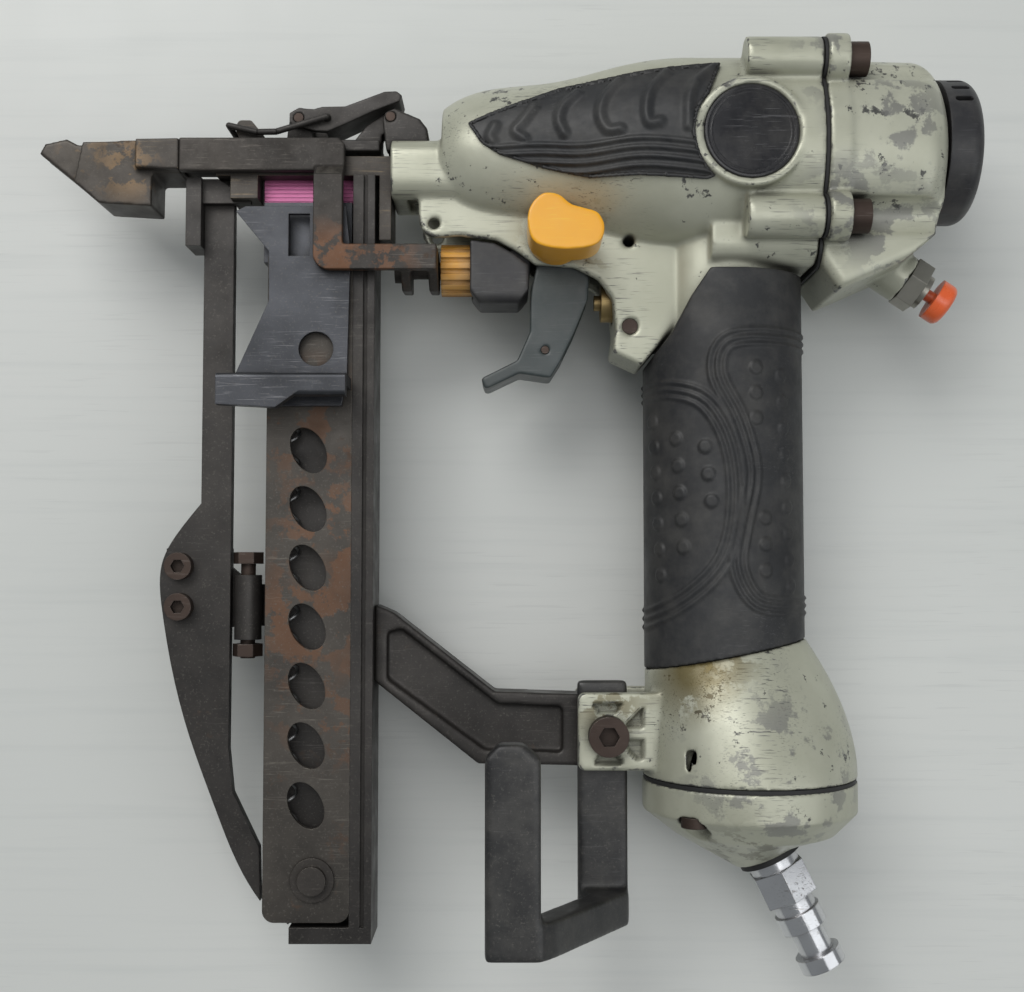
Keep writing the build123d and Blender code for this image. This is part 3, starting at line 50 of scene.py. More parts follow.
class Graph:
    """Small helper round a material's node tree."""

    def __init__(self, name):
        self.mat = bpy.data.materials.new(name)
        self.mat.use_nodes = True
        self.tree = self.mat.node_tree
        self.tree.nodes.clear()
        self.out = self.add("ShaderNodeOutputMaterial")
        self.bsdf = self.add("ShaderNodeBsdfPrincipled")
        self.link(self.bsdf.outputs[0], self.out.inputs[0])
        self.coord = self.add("ShaderNodeTexCoord").outputs["Object"]

    def add(self, kind, **values):
        node = self.tree.nodes.new(kind)
        for key, value in values.items():
            setattr(node, key, value)
        return node

    def link(self, a, b):
        self.tree.links.new(a, b)

    def put(self, socket, value):
        if hasattr(value, "is_output"):
            self.link(value, socket)
        elif isinstance(value, (tuple, list)) and len(value) == 3 and socket.type == "RGBA":
            socket.default_value = (*value, 1)
        else:
            socket.default_value = value

    def noise(self, scale, detail=4, rough=0.55, stretch=None, turn=(0, 0, 0), warp=0.0):
        node = self.add("ShaderNodeTexNoise")
        vector = self.coord
        if stretch:
            place = self.add("ShaderNodeMapping")
            place.inputs["Rotation"].default_value = turn
            place.inputs["Scale"].default_value = stretch
            self.link(vector, place.inputs["Vector"])
            vector = place.outputs[0]
        self.link(vector, node.inputs["Vector"])
        node.inputs["Scale"].default_value = scale
        node.inputs["Detail"].default_value = detail
        node.inputs["Roughness"].default_value = rough
        node.inputs["Distortion"].default_value = warp
        return node.outputs[0]

    def ramp(self, value, low, high, a=0.0, b=1.0):
        node = self.add("ShaderNodeMapRange", clamp=True)
        self.put(node.inputs["Value"], value)
        for key, number in (("From Min", low), ("From Max", high), ("To Min", a), ("To Max", b)):
            node.inputs[key].default_value = number
        return node.outputs[0]

    def math(self, operation, a, b=0.0):
        node = self.add("ShaderNodeMath", operation=operation, use_clamp=False)
        self.put(node.inputs[0], a)
        self.put(node.inputs[1], b)
        return node.outputs[0]

    def mix(self, factor, a, b):
        node = self.add("ShaderNodeMix", data_type="RGBA")
        self.put(node.inputs["Factor"], factor)
        self.put(node.inputs[6], a)
        self.put(node.inputs[7], b)
        return node.outputs[2]

    def blend(self, factor, a, b):
        node = self.add("ShaderNodeMix", data_type="FLOAT")
        self.put(node.inputs["Factor"], factor)
        self.put(node.inputs[2], a)
        self.put(node.inputs[3], b)
        return node.outputs[0]

    def edges(self, radius):
        """Normal rounded over sharp edges, and a mask of where the edges are; radius None for a fine mesh."""
        if radius is None:
            pointed = self.add("ShaderNodeNewGeometry").outputs["Pointiness"]
            return None, self.ramp(pointed, 0.515, 0.60)
        bevel = self.add("ShaderNodeBevel", samples=3)
        bevel.inputs["Radius"].default_value = radius
        geometry = self.add("ShaderNodeNewGeometry")
        dot = self.add("ShaderNodeVectorMath", operation="DOT_PRODUCT")
        self.link(bevel.outputs[0], dot.inputs[0])
        self.link(geometry.outputs["Normal"], dot.inputs[1])
        return bevel.outputs[0], self.ramp(dot.outputs["Value"], 0.995, 0.86)

    # mask of open surface from ambient occlusion; finish uses it to paint shade into cavities
    def cavity(self, distance):
        node = self.add("ShaderNodeAmbientOcclusion", samples=3, only_local=False)
        node.inputs["Distance"].default_value = distance
        return self.ramp(node.outputs["AO"], 0.25, 0.8)


def scratches(g, amount, scale=1.0):
    """Thin crossing scratches as a mask."""
    total = None
    for turn, seed in ((0.5, 1.0), (-0.7, 1.7), (1.4, 2.3)):
        fine = g.noise(60 * scale * seed, 2, 0.5, (1, 26, 26), (0.3 * seed, 0.2, turn), 0.15)
        line = g.ramp(fine, 0.66 - 0.02 * amount, 0.70)
        total = line if total is None else g.math("MAXIMUM", total, line)
    patch = g.ramp(g.noise(28 * scale, 3), 0.47, 0.6)
    return g.math("MULTIPLY", total, g.math("MULTIPLY", patch, amount))


def finish(name, color, other, rough=(0.35, 0.5), metal=0.0, wear=None, wear_amount=0.5, wear_metal=1.0,
           wear_rough=0.4, rust=0.0, rust_color=(0.16, 0.055, 0.02), dust=0.0, dust_color=(0.35, 0.33, 0.29),
           cavity_shade=0.6, scratch=0.4, grain=0.15, bevel=EDGE, spot=None, coat=0.0, specks=0.0):
    """Worn procedural finish: two-tone base, worn edges, scratches, rust, dust, and painted shade that
    darkens cavities.
    """
    g = Graph(name)
    normal, edge = g.edges(bevel)
    broad = g.noise(35, 5, 0.6)
    color = g.mix(g.ramp(broad, 0.35, 0.65), color, other)
    fine = g.noise(420, 3, 0.6)
    roughness = g.blend(g.ramp(g.noise(120, 4, 0.65), 0.3, 0.7), rough[0], rough[1])
    metallic = metal
    height = fine
    marks = scratches(g, scratch)
    if wear is not None:
        chips = g.noise(150, 5, 0.7)
        worn = g.ramp(g.math("ADD", g.math("MULTIPLY", edge, 0.55), g.math("MULTIPLY", chips, 0.9)),
                      1.0 - 0.42 * wear_amount, 1.06 - 0.42 * wear_amount)
        chip = g.ramp(g.math("ADD", g.noise(210, 6, 0.72), g.math("MULTIPLY", broad, 0.5)),
                      0.99 - 0.115 * wear_amount, 1.01 - 0.115 * wear_amount)
        worn = g.math("MAXIMUM", g.math("MAXIMUM", worn, chip), marks)
        wear_tone = g.mix(g.ramp(fine, 0.4, 0.65), wear, tuple(0.45 * c for c in wear))
        color = g.mix(worn, color, wear_tone)
        metallic = g.blend(worn, metal, wear_metal)
        roughness = g.blend(worn, roughness, wear_rough)
        height = g.math("SUBTRACT", g.math("MULTIPLY", fine, grain), g.math("MULTIPLY", worn, 0.5))
    else:
        color = g.mix(marks, color, tuple(min(1.0, 2.2 * c + 0.05) for c in other))
        roughness = g.math("ADD", roughness, g.math("MULTIPLY", marks, 0.12))
        height = g.math("SUBTRACT", g.math("MULTIPLY", fine, grain), g.math("MULTIPLY", marks, 0.3))
    if rust:
        stain = g.ramp(g.math("ADD", g.noise(55, 6, 0.7), g.math("MULTIPLY", fine, 0.25)),
                       0.86 - 0.22 * rust, 0.97 - 0.22 * rust)
        tone = g.mix(g.noise(300, 4), rust_color, tuple(0.35 * c for c in rust_color))
        color = g.mix(stain, color, tone)
        metallic = g.blend(stain, metallic, 0.0)
        roughness = g.blend(stain, roughness, 0.85)
    if spot is not None:
        color = spot(g, color)
    if dust:
        up = g.ramp(g.noise(90, 5, 0.7), 0.42, 0.75)
        layer = g.math("MULTIPLY", up, dust)
        color = g.mix(layer, color, dust_color)
        roughness = g.blend(layer, roughness, 0.8)
    if specks:
        speck = g.math("MULTIPLY", g.ramp(g.noise(1700, 3, 0.6), 0.58, 0.72), specks)
        color = g.mix(speck, color, (0.17, 0.16, 0.14))
        roughness = g.blend(speck, roughness, 0.8)
    # painted shade: ambient occlusion darkens the colour towards near-black in cavities, creases and between
    # parts
    if cavity_shade:
        open_air = g.cavity(0.004)
        shade = g.ramp(open_air, 0.0, 1.0, cavity_shade, 0.0)
        color = g.mix(shade, color, (0.012, 0.010, 0.008))
        roughness = g.blend(shade, roughness, 0.8)
    bump = g.add("ShaderNodeBump")
    bump.inputs["Strength"].default_value = 0.35
    bump.inputs["Distance"].default_value = 0.00012
    g.put(bump.inputs["Height"], height)
    if normal is not None:
        g.link(normal, bump.inputs["Normal"])
    g.put(g.bsdf.inputs["Base Color"], color)
    g.put(g.bsdf.inputs["Metallic"], metallic)
    g.put(g.bsdf.inputs["Roughness"], roughness)
    g.bsdf.inputs["Coat Weight"].default_value = coat
    g.bsdf.inputs["Coat Roughness"].default_value = 0.25
    g.link(bump.outputs[0], g.bsdf.inputs["Normal"])
    return g.mat


def stains(*places):
    """Colour step that lays ragged stains: (place in mm, reach in mm, colour, threshold, grain, strength)."""
    def spot(g, color):
        for place, reach, tone, low, grain, strength in places:
            away = g.add("ShaderNodeVectorMath", operation="DISTANCE")
            g.link(g.coord, away.inputs[0])
            away.inputs[1].default_value = tuple(c * MM for c in place)
            near = g.ramp(away.outputs["Value"], reach * MM, 0.4 * reach * MM)
            ragged = g.ramp(g.noise(grain, 7, 0.65), low, low + 0.035)
            color = g.mix(g.math("MULTIPLY", g.math("MULTIPLY", near, ragged), strength), color, tone)
        return color
    return spot


GREY = (0.215, 0.215, 0.20)
OIL = (0.12, 0.09, 0.022)
PAINT_STAINS = stains(
    ((44, -38, 47), 17, OIL, 0.44, 60, 0.9),
    ((52, -34, 47), 14, OIL, 0.50, 90, 0.7),
    ((26, -48, 38), 12, OIL, 0.50, 120, 0.6),
    ((95, 95, 52), 20, GREY, 0.53, 90, 0.85),
    ((84, 74, 50), 16, GREY, 0.52, 100, 0.85),
    ((84, 110, 50), 16, GREY, 0.53, 100, 0.8),
    ((100, 68, 42), 16, GREY, 0.53, 100, 0.8),
    ((68, -64, 52), 30, GREY, 0.54, 110, 0.8),
    ((60, -84, 42), 18, (0.14, 0.13, 0.10), 0.52, 120, 0.6),
    ((16, 70, 36), 16, (0.20, 0.16, 0.07), 0.54, 90, 0.6),
)
RUST = (0.17, 0.078, 0.038)
LEVER_RUST = stains(((-45, 63, 40), 12, RUST, 0.44, 160, 0.7), ((-33, 64, 41), 13, RUST, 0.48, 160, 0.6))
PLATE_RUST = stains(
    ((-50, 22, 36), 20, RUST, 0.51, 120, 0.5),
    ((-44, -5, 36), 19, RUST, 0.50, 130, 0.6),
    ((-50, -28, 36), 20, RUST, 0.50, 120, 0.6),
    ((-44, -50, 36), 18, RUST, 0.52, 130, 0.45),
)
NOSE_RUST = stains(((-97, 89, 34), 11, (0.20, 0.125, 0.06), 0.51, 130, 0.55),
                   ((-110, 93, 34), 8, (0.17, 0.11, 0.055), 0.53, 150, 0.45))


# each finish's cavity darkening is painted shade, taken from ambient occlusion
FINISHES = {
    "paint": ("silver_paint", (0.41, 0.415, 0.325), (0.50, 0.505, 0.41), (0.32, 0.48), 0.36, dict(
        wear=(0.20, 0.20, 0.185), wear_amount=0.85, wear_metal=0.5, wear_rough=0.42, scratch=1.0,
        rust=0.12, rust_color=(0.10, 0.075, 0.03), cavity_shade=0.9, grain=0.1, coat=0.12, spot=PAINT_STAINS)),
    "rubber": ("black_rubber", (0.012, 0.0125, 0.014), (0.020, 0.021, 0.023), (0.44, 0.64), 0.0, dict(
        dust=0.10, scratch=0.35, cavity_shade=0.4, grain=0.35)),
    "seal": ("seal_rubber", (0.012, 0.012, 0.012), (0.02, 0.02, 0.02), (0.5, 0.7), 0.0, dict(
        cavity_shade=0.3, scratch=0.1)),
    "plastic": ("black_plastic", (0.012, 0.012, 0.014), (0.022, 0.022, 0.025), (0.35, 0.5), 0.0, dict(
        dust=0.10, scratch=0.4, cavity_shade=0.4)),
    "badge": ("badge_black", (0.010, 0.010, 0.012), (0.015, 0.015, 0.018), (0.15, 0.3), 0.0, dict(
        scratch=0.5, dust=0.08, cavity_shade=0.2)),
    "black_steel": ("black_steel", (0.024, 0.022, 0.021), (0.046, 0.042, 0.039), (0.34, 0.6), 0.5, dict(
        wear=(0.16, 0.15, 0.14), wear_amount=0.3, rust=0.42, rust_color=(0.08, 0.05, 0.033), scratch=0.35,
        grain=0.35, dust=0.10, dust_color=(0.16, 0.14, 0.12), specks=0.35)),
    "nose_steel": ("black_steel", (0.034, 0.030, 0.027), (0.064, 0.056, 0.048), (0.34, 0.58), 0.55, dict(
        wear=(0.26, 0.2, 0.13), wear_amount=0.4, rust=0.45, rust_color=(0.10, 0.06, 0.035), scratch=0.4,
        grain=0.5, dust=0.08, dust_color=(0.2, 0.17, 0.13), specks=0.3, spot=NOSE_RUST)),
    "rusty": ("rusty_steel", (0.034, 0.030, 0.027), (0.062, 0.054, 0.047), (0.42, 0.7), 0.45, dict(
        wear=(0.2, 0.18, 0.16), wear_amount=0.3, rust=0.5, rust_color=(0.12, 0.065, 0.035), grain=0.5,
        specks=0.3, spot=LEVER_RUST)),
    "plate": ("black_steel", (0.042, 0.038, 0.034), (0.080, 0.071, 0.062), (0.36, 0.62), 0.6, dict(
        wear=(0.25, 0.23, 0.2), wear_amount=0.35, rust=0.6, rust_color=(0.12, 0.06, 0.03), grain=0.4,
        dust=0.12, dust_color=(0.2, 0.18, 0.15), specks=0.5, spot=PLATE_RUST)),
    "blued": ("blued_steel", (0.038, 0.040, 0.045), (0.070, 0.073, 0.082), (0.26, 0.5), 0.75, dict(
        wear=(0.22, 0.22, 0.23), wear_amount=0.35, rust=0.3, scratch=0.5, grain=0.25, specks=0.3)),
    "coated": ("coated_steel", (0.011, 0.011, 0.012), (0.022, 0.022, 0.022), (0.28, 0.48), 0.0, dict(
        wear=(0.10, 0.10, 0.10), wear_amount=0.3, wear_metal=0.4, dust=0.12, specks=0.3)),
    "screw": ("screw_steel", (0.045, 0.030, 0.024), (0.070, 0.048, 0.038), (0.4, 0.6), 0.6, dict(
        wear=(0.25, 0.22, 0.2), wear_amount=0.3, rust=0.4)),
    "bright": ("bright_steel", (0.30, 0.29, 0.25), (0.44, 0.42, 0.37), (0.25, 0.45), 0.9, dict(
        wear=(0.6, 0.58, 0.52), wear_amount=0.3, rust=0.25, rust_color=(0.2, 0.12, 0.06))),
    "chrome": ("chrome", (0.75, 0.76, 0.78), (0.62, 0.62, 0.64), (0.08, 0.2), 1.0, dict(
        wear=(0.3, 0.25, 0.2), wear_amount=0.1, rust=0.1, scratch=0.5, grain=0.05)),
    "aluminium": ("aluminium", (0.55, 0.55, 0.55), (0.65, 0.65, 0.65), (0.3, 0.45), 1.0, {}),
    "brass": ("brass", (0.34, 0.25, 0.11), (0.42, 0.31, 0.15), (0.3, 0.45), 0.9, {}),
    "white": ("valve_plastic", (0.6, 0.6, 0.55), (0.7, 0.7, 0.66), (0.4, 0.5), 0.0, {}),
    "yellow": ("yellow_plastic", (0.84, 0.37, 0.012), (0.90, 0.43, 0.018), (0.28, 0.4), 0.0, dict(
        scratch=0.25, cavity_shade=0.35, grain=0.1, dust=0.05, coat=0.2)),
    "dial": ("yellow_plastic", (0.72, 0.33, 0.02), (0.56, 0.27, 0.04), (0.35, 0.5), 0.0, dict(
        scratch=0.4, cavity_shade=0.8, grain=0.2, dust=0.4, dust_color=(0.5, 0.45, 0.36))),
    "orange": ("orange_plastic", (0.72, 0.11, 0.028), (0.80, 0.15, 0.04), (0.22, 0.36), 0.0, dict(
        scratch=0.25, cavity_shade=0.3, grain=0.1, coat=0.3)),
    "trigger": ("trigger_plastic", (0.026, 0.036, 0.037), (0.042, 0.054, 0.055), (0.28, 0.48), 0.0, dict(
        wear=(0.13, 0.14, 0.14), wear_amount=0.35, wear_metal=0.2, dust=0.08)),
    "spring": ("spring_steel", (0.25, 0.25, 0.25), (0.32, 0.32, 0.32), (0.3, 0.45), 1.0, {}),
    "arm": ("arm_steel", (0.10, 0.10, 0.10), (0.14, 0.14, 0.135), (0.3, 0.5), 0.9, dict(rust=0.3)),
    "staple": ("staple_wire", (0.55, 0.12, 0.30), (0.64, 0.18, 0.38), (0.25, 0.35), 0.3, dict(
        scratch=0.2, cavity_shade=0.7)),
}
BEVELS = {"rubber": 0.0005, "plastic": 0.0005, "badge": 0.0003, "coated": 0.0008, "yellow": 0.0006,
          "dial": 0.0004, "orange": 0.0006, "trigger": 0.0008, "staple": 0.00012}
made = {}


def material(key, fine=False):
    """Material of a finish, in one variant for CAD nodes and one for fine meshes with round corners."""
    if (key, fine) not in made:
        _, color, other, rough, metal, more = FINISHES[key]
        bevel = None if fine else BEVELS.get(key, EDGE)
        name = key + ("_fine" if fine else "")
        made[key, fine] = finish(name, color, other, rough, metal, bevel=bevel, **more)
    return made[key, fine]


BY_NODE = {
    "paint": "housing handle head_cap end_cap",
    "rubber": "grip_sleeve side_pads",
    "seal": "head_gasket end_gasket liner_seal piston_seal bumper plug_seal",
    "plastic": "exhaust_cover front_cover",
    "badge": "badges",
    "black_steel": "hinge_block nose_cover latch_lever latch_bail guard_plate guard_top_bracket "
                   "guard_bracket magazine_rail magazine_core magazine_arm magazine_cover_far",
    "nose_steel": "nose_base contact_shoe",
    "plate": "magazine_cover_near",
    "rusty": "push_lever adjuster_rod magazine_rivet",
    "blued": "pusher_plate pusher_block",
    "coated": "belt_hook",
    "screw": "cap_screws exhaust_screw guard_fasteners arm_bolt end_screws cover_pins guide_pin "
             "trigger_arm_pin",
    "bright": "cylinder_liner driver_blade duster_body",
    "arm": "trigger_arm",
    "chrome": "air_plug",
    "aluminium": "piston",
    "brass": "valve_bushing valve_plunger",
    "white": "head_valve",
    "yellow": "mode_knob",
    "dial": "adjuster_dial",
    "orange": "duster_button",
    "trigger": "trigger",
    "spring": "head_valve_spring lever_spring pusher_spring",
    "staple": "staples",
}


def paint(obj, key, fine=False):
    obj.data.materials.clear()
    obj.data.materials.append(material(key, fine))


for key, names in BY_NODE.items():
    for name in names.split():
        paint(NODES[name], key)


# ---------------------------------------------------------------- mesh helpers
def new_object(name, mesh, key, body, *nodes, smooth=True, fine=True):
    """A finished piece: shaded, painted, riding on its body and standing for CAD nodes."""
    obj = bpy.data.objects.new(name, mesh)
    scene.collection.objects.link(obj)
    mesh.polygons.foreach_set("use_smooth", [smooth] * len(mesh.polygons))
    paint(obj, key, fine)
    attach(obj, body)
    if nodes:
        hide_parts(*nodes)
    return obj


def joined(nodes, extra=()):
    """One bmesh with copies of CAD nodes and of further meshes."""
    bm = bmesh.new()
    for node in nodes:
        bm.from_mesh(NODES[node].data)
    for mesh in extra:
        bm.from_mesh(mesh)
    bmesh.ops.remove_doubles(bm, verts=bm.verts, dist=1e-6)
    return bm


def baked(bm, *steps):
    """Mesh left by a list of modifiers, each a (type, settings) pair."""
    mesh = bpy.data.meshes.new("work")
    bm.to_mesh(mesh)
    bm.free()
    obj = bpy.data.objects.new("work", mesh)
    scene.collection.objects.link(obj)
    for kind, settings in steps:
        modifier = obj.modifiers.new(kind, kind)
        for key, value in settings.items():
            setattr(modifier, key, value)
    result = bpy.data.meshes.new_from_object(obj.evaluated_get(bpy.context.evaluated_depsgraph_get()))
    bpy.data.objects.remove(obj)
    bpy.data.meshes.remove(mesh)
    return result


def remeshed(bm, voxel, rounds, factor=0.5):
    """Skin of everything in bm as one closed surface, its corners rounded off."""
    return baked(bm, ("REMESH", {"mode": "VOXEL", "voxel_size": voxel * MM}),
                 ("SMOOTH", {"factor": factor, "iterations": rounds}))


def bm_mesh(bm):
    mesh = bpy.data.meshes.new("part")
    bm.to_mesh(mesh)
    bm.free()
    return mesh


def merged(meshes):
    bm = bmesh.new()
    for mesh in meshes:
        bm.from_mesh(mesh)
    return bm_mesh(bm)


def lathe(profile, origin, axis, sides=96):
    """Closed or open surface of revolution: profile is (distance along the axis, radius) in millimetres."""
    axis = Vector(axis).normalized()
    side = axis.orthogonal().normalized()
    other = axis.cross(side)
    origin = Vector(origin)
    bm = bmesh.new()
    rings = []
    for along, radius in profile:
        center = origin + axis * along * MM
        if radius < 1e-6:
            rings.append([bm.verts.new(center)])
            continue
        rings.append([bm.verts.new(center + (side * math.cos(a) + other * math.sin(a)) * radius * MM)
                      for a in (2 * math.pi * k / sides for k in range(sides))])
    for a, b in zip(rings[:-1], rings[1:]):
        for k in range(sides):
            n = (k + 1) % sides
            corners = [a[k % len(a)], a[n % len(a)], b[n % len(b)], b[k % len(b)]]
            unique = list(dict.fromkeys(corners))
            if len(unique) > 2:
                bm.faces.new(unique)
    bmesh.ops.recalc_face_normals(bm, faces=bm.faces)
    return bm_mesh(bm)


def reliefed(mesh, relief):
    """Moves each vertex along its normal by relief(places, normals), in millimetres, z from the mid-plane."""
    count = len(mesh.vertices)
    places = np.empty(count * 3, np.float32)
    normals = np.empty(count * 3, np.float32)
    mesh.vertices.foreach_get("co", places)
    mesh.vertex_normals.foreach_get("vector", normals)
    places = places.reshape(-1, 3)
    normals = normals.reshape(-1, 3)
    amounts = relief((places - (0, 0, MID)) / MM, normals)
    mesh.vertices.foreach_set("co", (places + normals * amounts[:, None] * MM).astype(np.float32).ravel())
    mesh.update()
    return mesh


def to_path(places, points):
    """Distances in the XY plane from places to a polyline."""
    best = np.full(len(places), 1e9)
    for (ax, ay), (bx, by) in zip(points[:-1], points[1:]):
        dx, dy = bx - ax, by - ay
        t = np.clip(((places[:, 0] - ax) * dx + (places[:, 1] - ay) * dy) / (dx * dx + dy * dy), 0, 1)
        best = np.minimum(best, np.hypot(places[:, 0] - ax - t * dx, places[:, 1] - ay - t * dy))
    return best


def inside(places, corners):
    """Whether places lie inside an outline in the XY plane."""
    result = np.zeros(len(places), bool)
    for (ax, ay), (bx, by) in zip(corners, corners[1:] + corners[:1]):
        crosses = (ay > places[:, 1]) != (by > places[:, 1])
        result ^= crosses & (places[:, 0] < (bx - ax) * (places[:, 1] - ay) / (by - ay + 1e-12) + ax)
    return result


def spline(points, steps=8, closed=False):
    """Smooth curve through points, as tuples."""
    points = [Vector(p) for p in points]
    if closed:
        points = points[-1:] + points + points[:2]
    else:
        points = [points[0] * 2 - points[1]] + points + [points[-1] * 2 - points[-2]]
    out = []
    for a, b, c, d in zip(points[:-3], points[1:-2], points[2:-1], points[3:]):
        for k in range(steps):
            t = k / steps
            out.append(tuple(0.5 * ((2 * b) + (c - a) * t + (2 * a - 5 * b + 4 * c - d) * t * t
                                    + (3 * b - a - 3 * c + d) * t * t * t)))
    if not closed:
        out.append(tuple(points[-2]))
    return out


# ---------------------------------------------------------------- cast body with rounded corners
def ring(x, y, low, high, inner, outer):
    """Flat ring round a vertical axis, as a closed mesh."""
    profile = [(low, inner), (low, outer), (high, outer), (high, inner), (low, inner)]
    return lathe(profile, (x * MM, y * MM, MID), (0, 0, 1))


def prism(corners, low, high):
    """Closed mesh over an outline in the XY plane, between two heights above the mid-plane."""
    bm = bmesh.new()
    bottom = [bm.verts.new((x * MM, y * MM, MID + low * MM)) for x, y in corners]
    top = [bm.verts.new((x * MM, y * MM, MID + high * MM)) for x, y in corners]
    bm.faces.new(list(reversed(bottom)))
    bm.faces.new(top)
    for k in range(len(corners)):
        n = (k + 1) % len(corners)
        bm.faces.new((bottom[k], bottom[n], top[n], top[k]))
    bmesh.ops.recalc_face_normals(bm, faces=bm.faces)
    return bm_mesh(bm)


BADGE_X, BADGE_Y = 60.7, 92.2
BADGE_SEAT = 25  # mm from the mid-plane
LUG_X, LUG_Y = 26.0, -56.4
LUG_FACE = 10.4  # mm above the mid-plane
WINDOW_DEPTH = 2.2
LUG_WINDOWS = [
    [(-3.9, 7.8), (3.7, 7.8), (1.9, 5.3), (-2.2, 5.3)],
    [(-2.2, -4.6), (2.0, -4.6), (3.9, -7.4), (-3.6, -7.4)],
    [(4.6, 3.0), (8.6, 6.6), (8.6, 1.8), (4.6, 1.8)],
    [(4.6, -1.2), (8.6, -1.2), (8.6, -6.2), (6.6, -5.6), (4.6, -2.6)],
]


def sunk_windows(places, normals):
    """Windows in the near ear of the lug."""
    on_face = (normals[:, 2] > 0.7) & (np.abs(places[:, 2] - LUG_FACE) < 0.7)
    depth = np.zeros(len(places))
    for outline in LUG_WINDOWS:
        window = inside(places, [(LUG_X + x, LUG_Y + y) for x, y in outline])
        depth[on_face & window] = -WINDOW_DEPTH
    return depth


def cast_housing():
    seats = [ring(BADGE_X, BADGE_Y, height - 1.4, height + 0.6, 11.8, 13.6)
             for height in (BADGE_SEAT, -BADGE_SEAT)]
    skin = remeshed(joined(["housing", "handle"], seats), 0.6, 4)
    skin = reliefed(skin, sunk_windows)
    new_object("cast_housing", skin, "paint", "body", "housing", "handle")


cast_housing()
new_object("cast_head_cap", remeshed(joined(["head_cap"]), 0.55, 5), "paint", "body", "head_cap")
new_object("cast_end_cap", remeshed(joined(["end_cap"]), 0.5, 3), "paint", "body", "end_cap")


# ---------------------------------------------------------------- rubber grip and side pads
def ridge(distances, half_width, height):
    """Height of a rounded ridge at distances from its line."""
    t = np.clip(1.0 - distances / half_width, 0, 1)
    return height * t * t * (3 - 2 * t)


GRIP_X = 56.8  # the grip's axis
GRIP_LOOP = spline([(31, 30.2), (41.7, 30.2), (50.4, 26.5), (56.0, 16), (57.4, 2), (54.5, -12), (45.8, -21.8),
                    (31, -31)], 4)
GRIP_BOW = spline([(80, 43), (61.2, 43), (54.4, 40.5), (53.2, 33), (58.5, 22), (61.6, 9), (59.2, -4),
                   (57.8, -14), (61.5, -22), (68, -24.2), (82, -24.2)], 4)
GRIP_DOTS = ([(43.1 + 0.4 * k, 17.7 - 6.8 * k) for k in range(5)]
             + [(50.0 + 0.7 * k, 15.5 - 6.8 * k) for k in range(3)]
             + [(62.7, 35.2 - 6.3 * k) for k in range(3)]
             + [(64.8, -2.3 - 6.5 * k) for k in range(3)]
             + [(69.5 + 0.3 * k, 33.6 - 6.6 * k) for k in range(9)]
             + [(38.0 + 0.25 * k, 22.5 - 6.5 * k) for k in range(7)])


def grip_relief(places, normals):
    """Raised lines and round studs of the hand grip, the same on both flanks."""
    height = np.zeros(len(places))
    for path in (GRIP_LOOP, GRIP_BOW):
        away = to_path(places, path)
        for offset in (0.0, 1.9):
            height = np.maximum(height, ridge(np.abs(away - offset), 0.9, 0.5))
    for x, y in GRIP_DOTS:
        lean = np.maximum(0.4, np.abs(normals[:, 2]))
        away = np.hypot((places[:, 0] - x) / np.maximum(lean, 0.6), places[:, 1] - y)
        height = np.maximum(height, 0.5 * np.clip((1.9 - away) / 0.5, 0, 1))
    outward = (places[:, 0] - GRIP_X) * normals[:, 0] + places[:, 2] * normals[:, 2] > 0
    return np.where(outward & (np.abs(places[:, 2]) > 2), height, 0.0)


grip = remeshed(joined(["grip_sleeve"]), 0.42, 2)
new_object("hand_grip", reliefed(grip, grip_relief), "rubber", "body", "grip_sleeve")

PAD_SCALLOPS = [
    [(-2.4, 95.6), (-3.6, 93.0), (-2.9, 91.5)],
    [(7.4, 100.8), (4.6, 96.7), (2.7, 94.1), (5.0, 92.0)],
    [(18.2, 104.7), (14.6, 100.8), (13.5, 96.7), (14.8, 93.0)],
    [(28.4, 107.1), (24.8, 102.4), (23.6, 97.2), (25.3, 93.2), (28.4, 93.0)],
    [(40.3, 108.9), (36.1, 103.5), (34.8, 98.2), (35.4, 94.3), (38.0, 94.3)],
    [(52.6, 111.0), (47.4, 105.6), (45.4, 100.3), (45.0, 93.0)],
]
PAD_SINK = 0.95  # mm the pad's face drops, so that its highest folds stay in the CAD box
SCALLOP_LINES = [spline(points, 5) for points in PAD_SCALLOPS]
RIB_LINES = [spline([(-6 + i, 89.9 - 2.1 * i), (8, 90.4 - 2.2 * i), (20, 89.6 - 2.2 * i),
                     (34, 90.4 - 2.2 * i), (52, 88.2 - 2.1 * i)], 5) for i in range(4)]


def pad_relief(places, normals):
    """Scalloped folds along the pad's top and wavy ribs along its bottom."""
    height = np.zeros(len(places))
    for path in SCALLOP_LINES:
        height = np.maximum(height, ridge(to_path(places, path), 2.1, 1.0))
    for path in RIB_LINES:
        height = np.maximum(height, ridge(to_path(places, path), 1.0, 0.7))
    outward = normals[:, 2] * np.sign(places[:, 2]) > 0.2
    return np.where(outward, height - PAD_SINK, 0.0)


pads = remeshed(joined(["side_pads"]), 0.4, 3)
new_object("flank_pads", reliefed(pads, pad_relief), "rubber", "body", "side_pads")


def badge(side):
    """Plain disc with a raised rim and a fine turned ring."""
    profile = [(24.1, 0), (24.1, 11.7), (25.0, 11.7), (25.3, 11.4), (25.35, 10.9), (25.1, 10.6), (25.1, 10.1),
               (25.2, 10.0), (25.2, 9.7), (25.1, 9.6), (25.1, 0)]
    return lathe(profile, (BADGE_X * MM, BADGE_Y * MM, MID), (0, 0, side))


new_object("badge_discs", merged([badge(1), badge(-1)]), "badge", "body", "badges", fine=False, smooth=False)


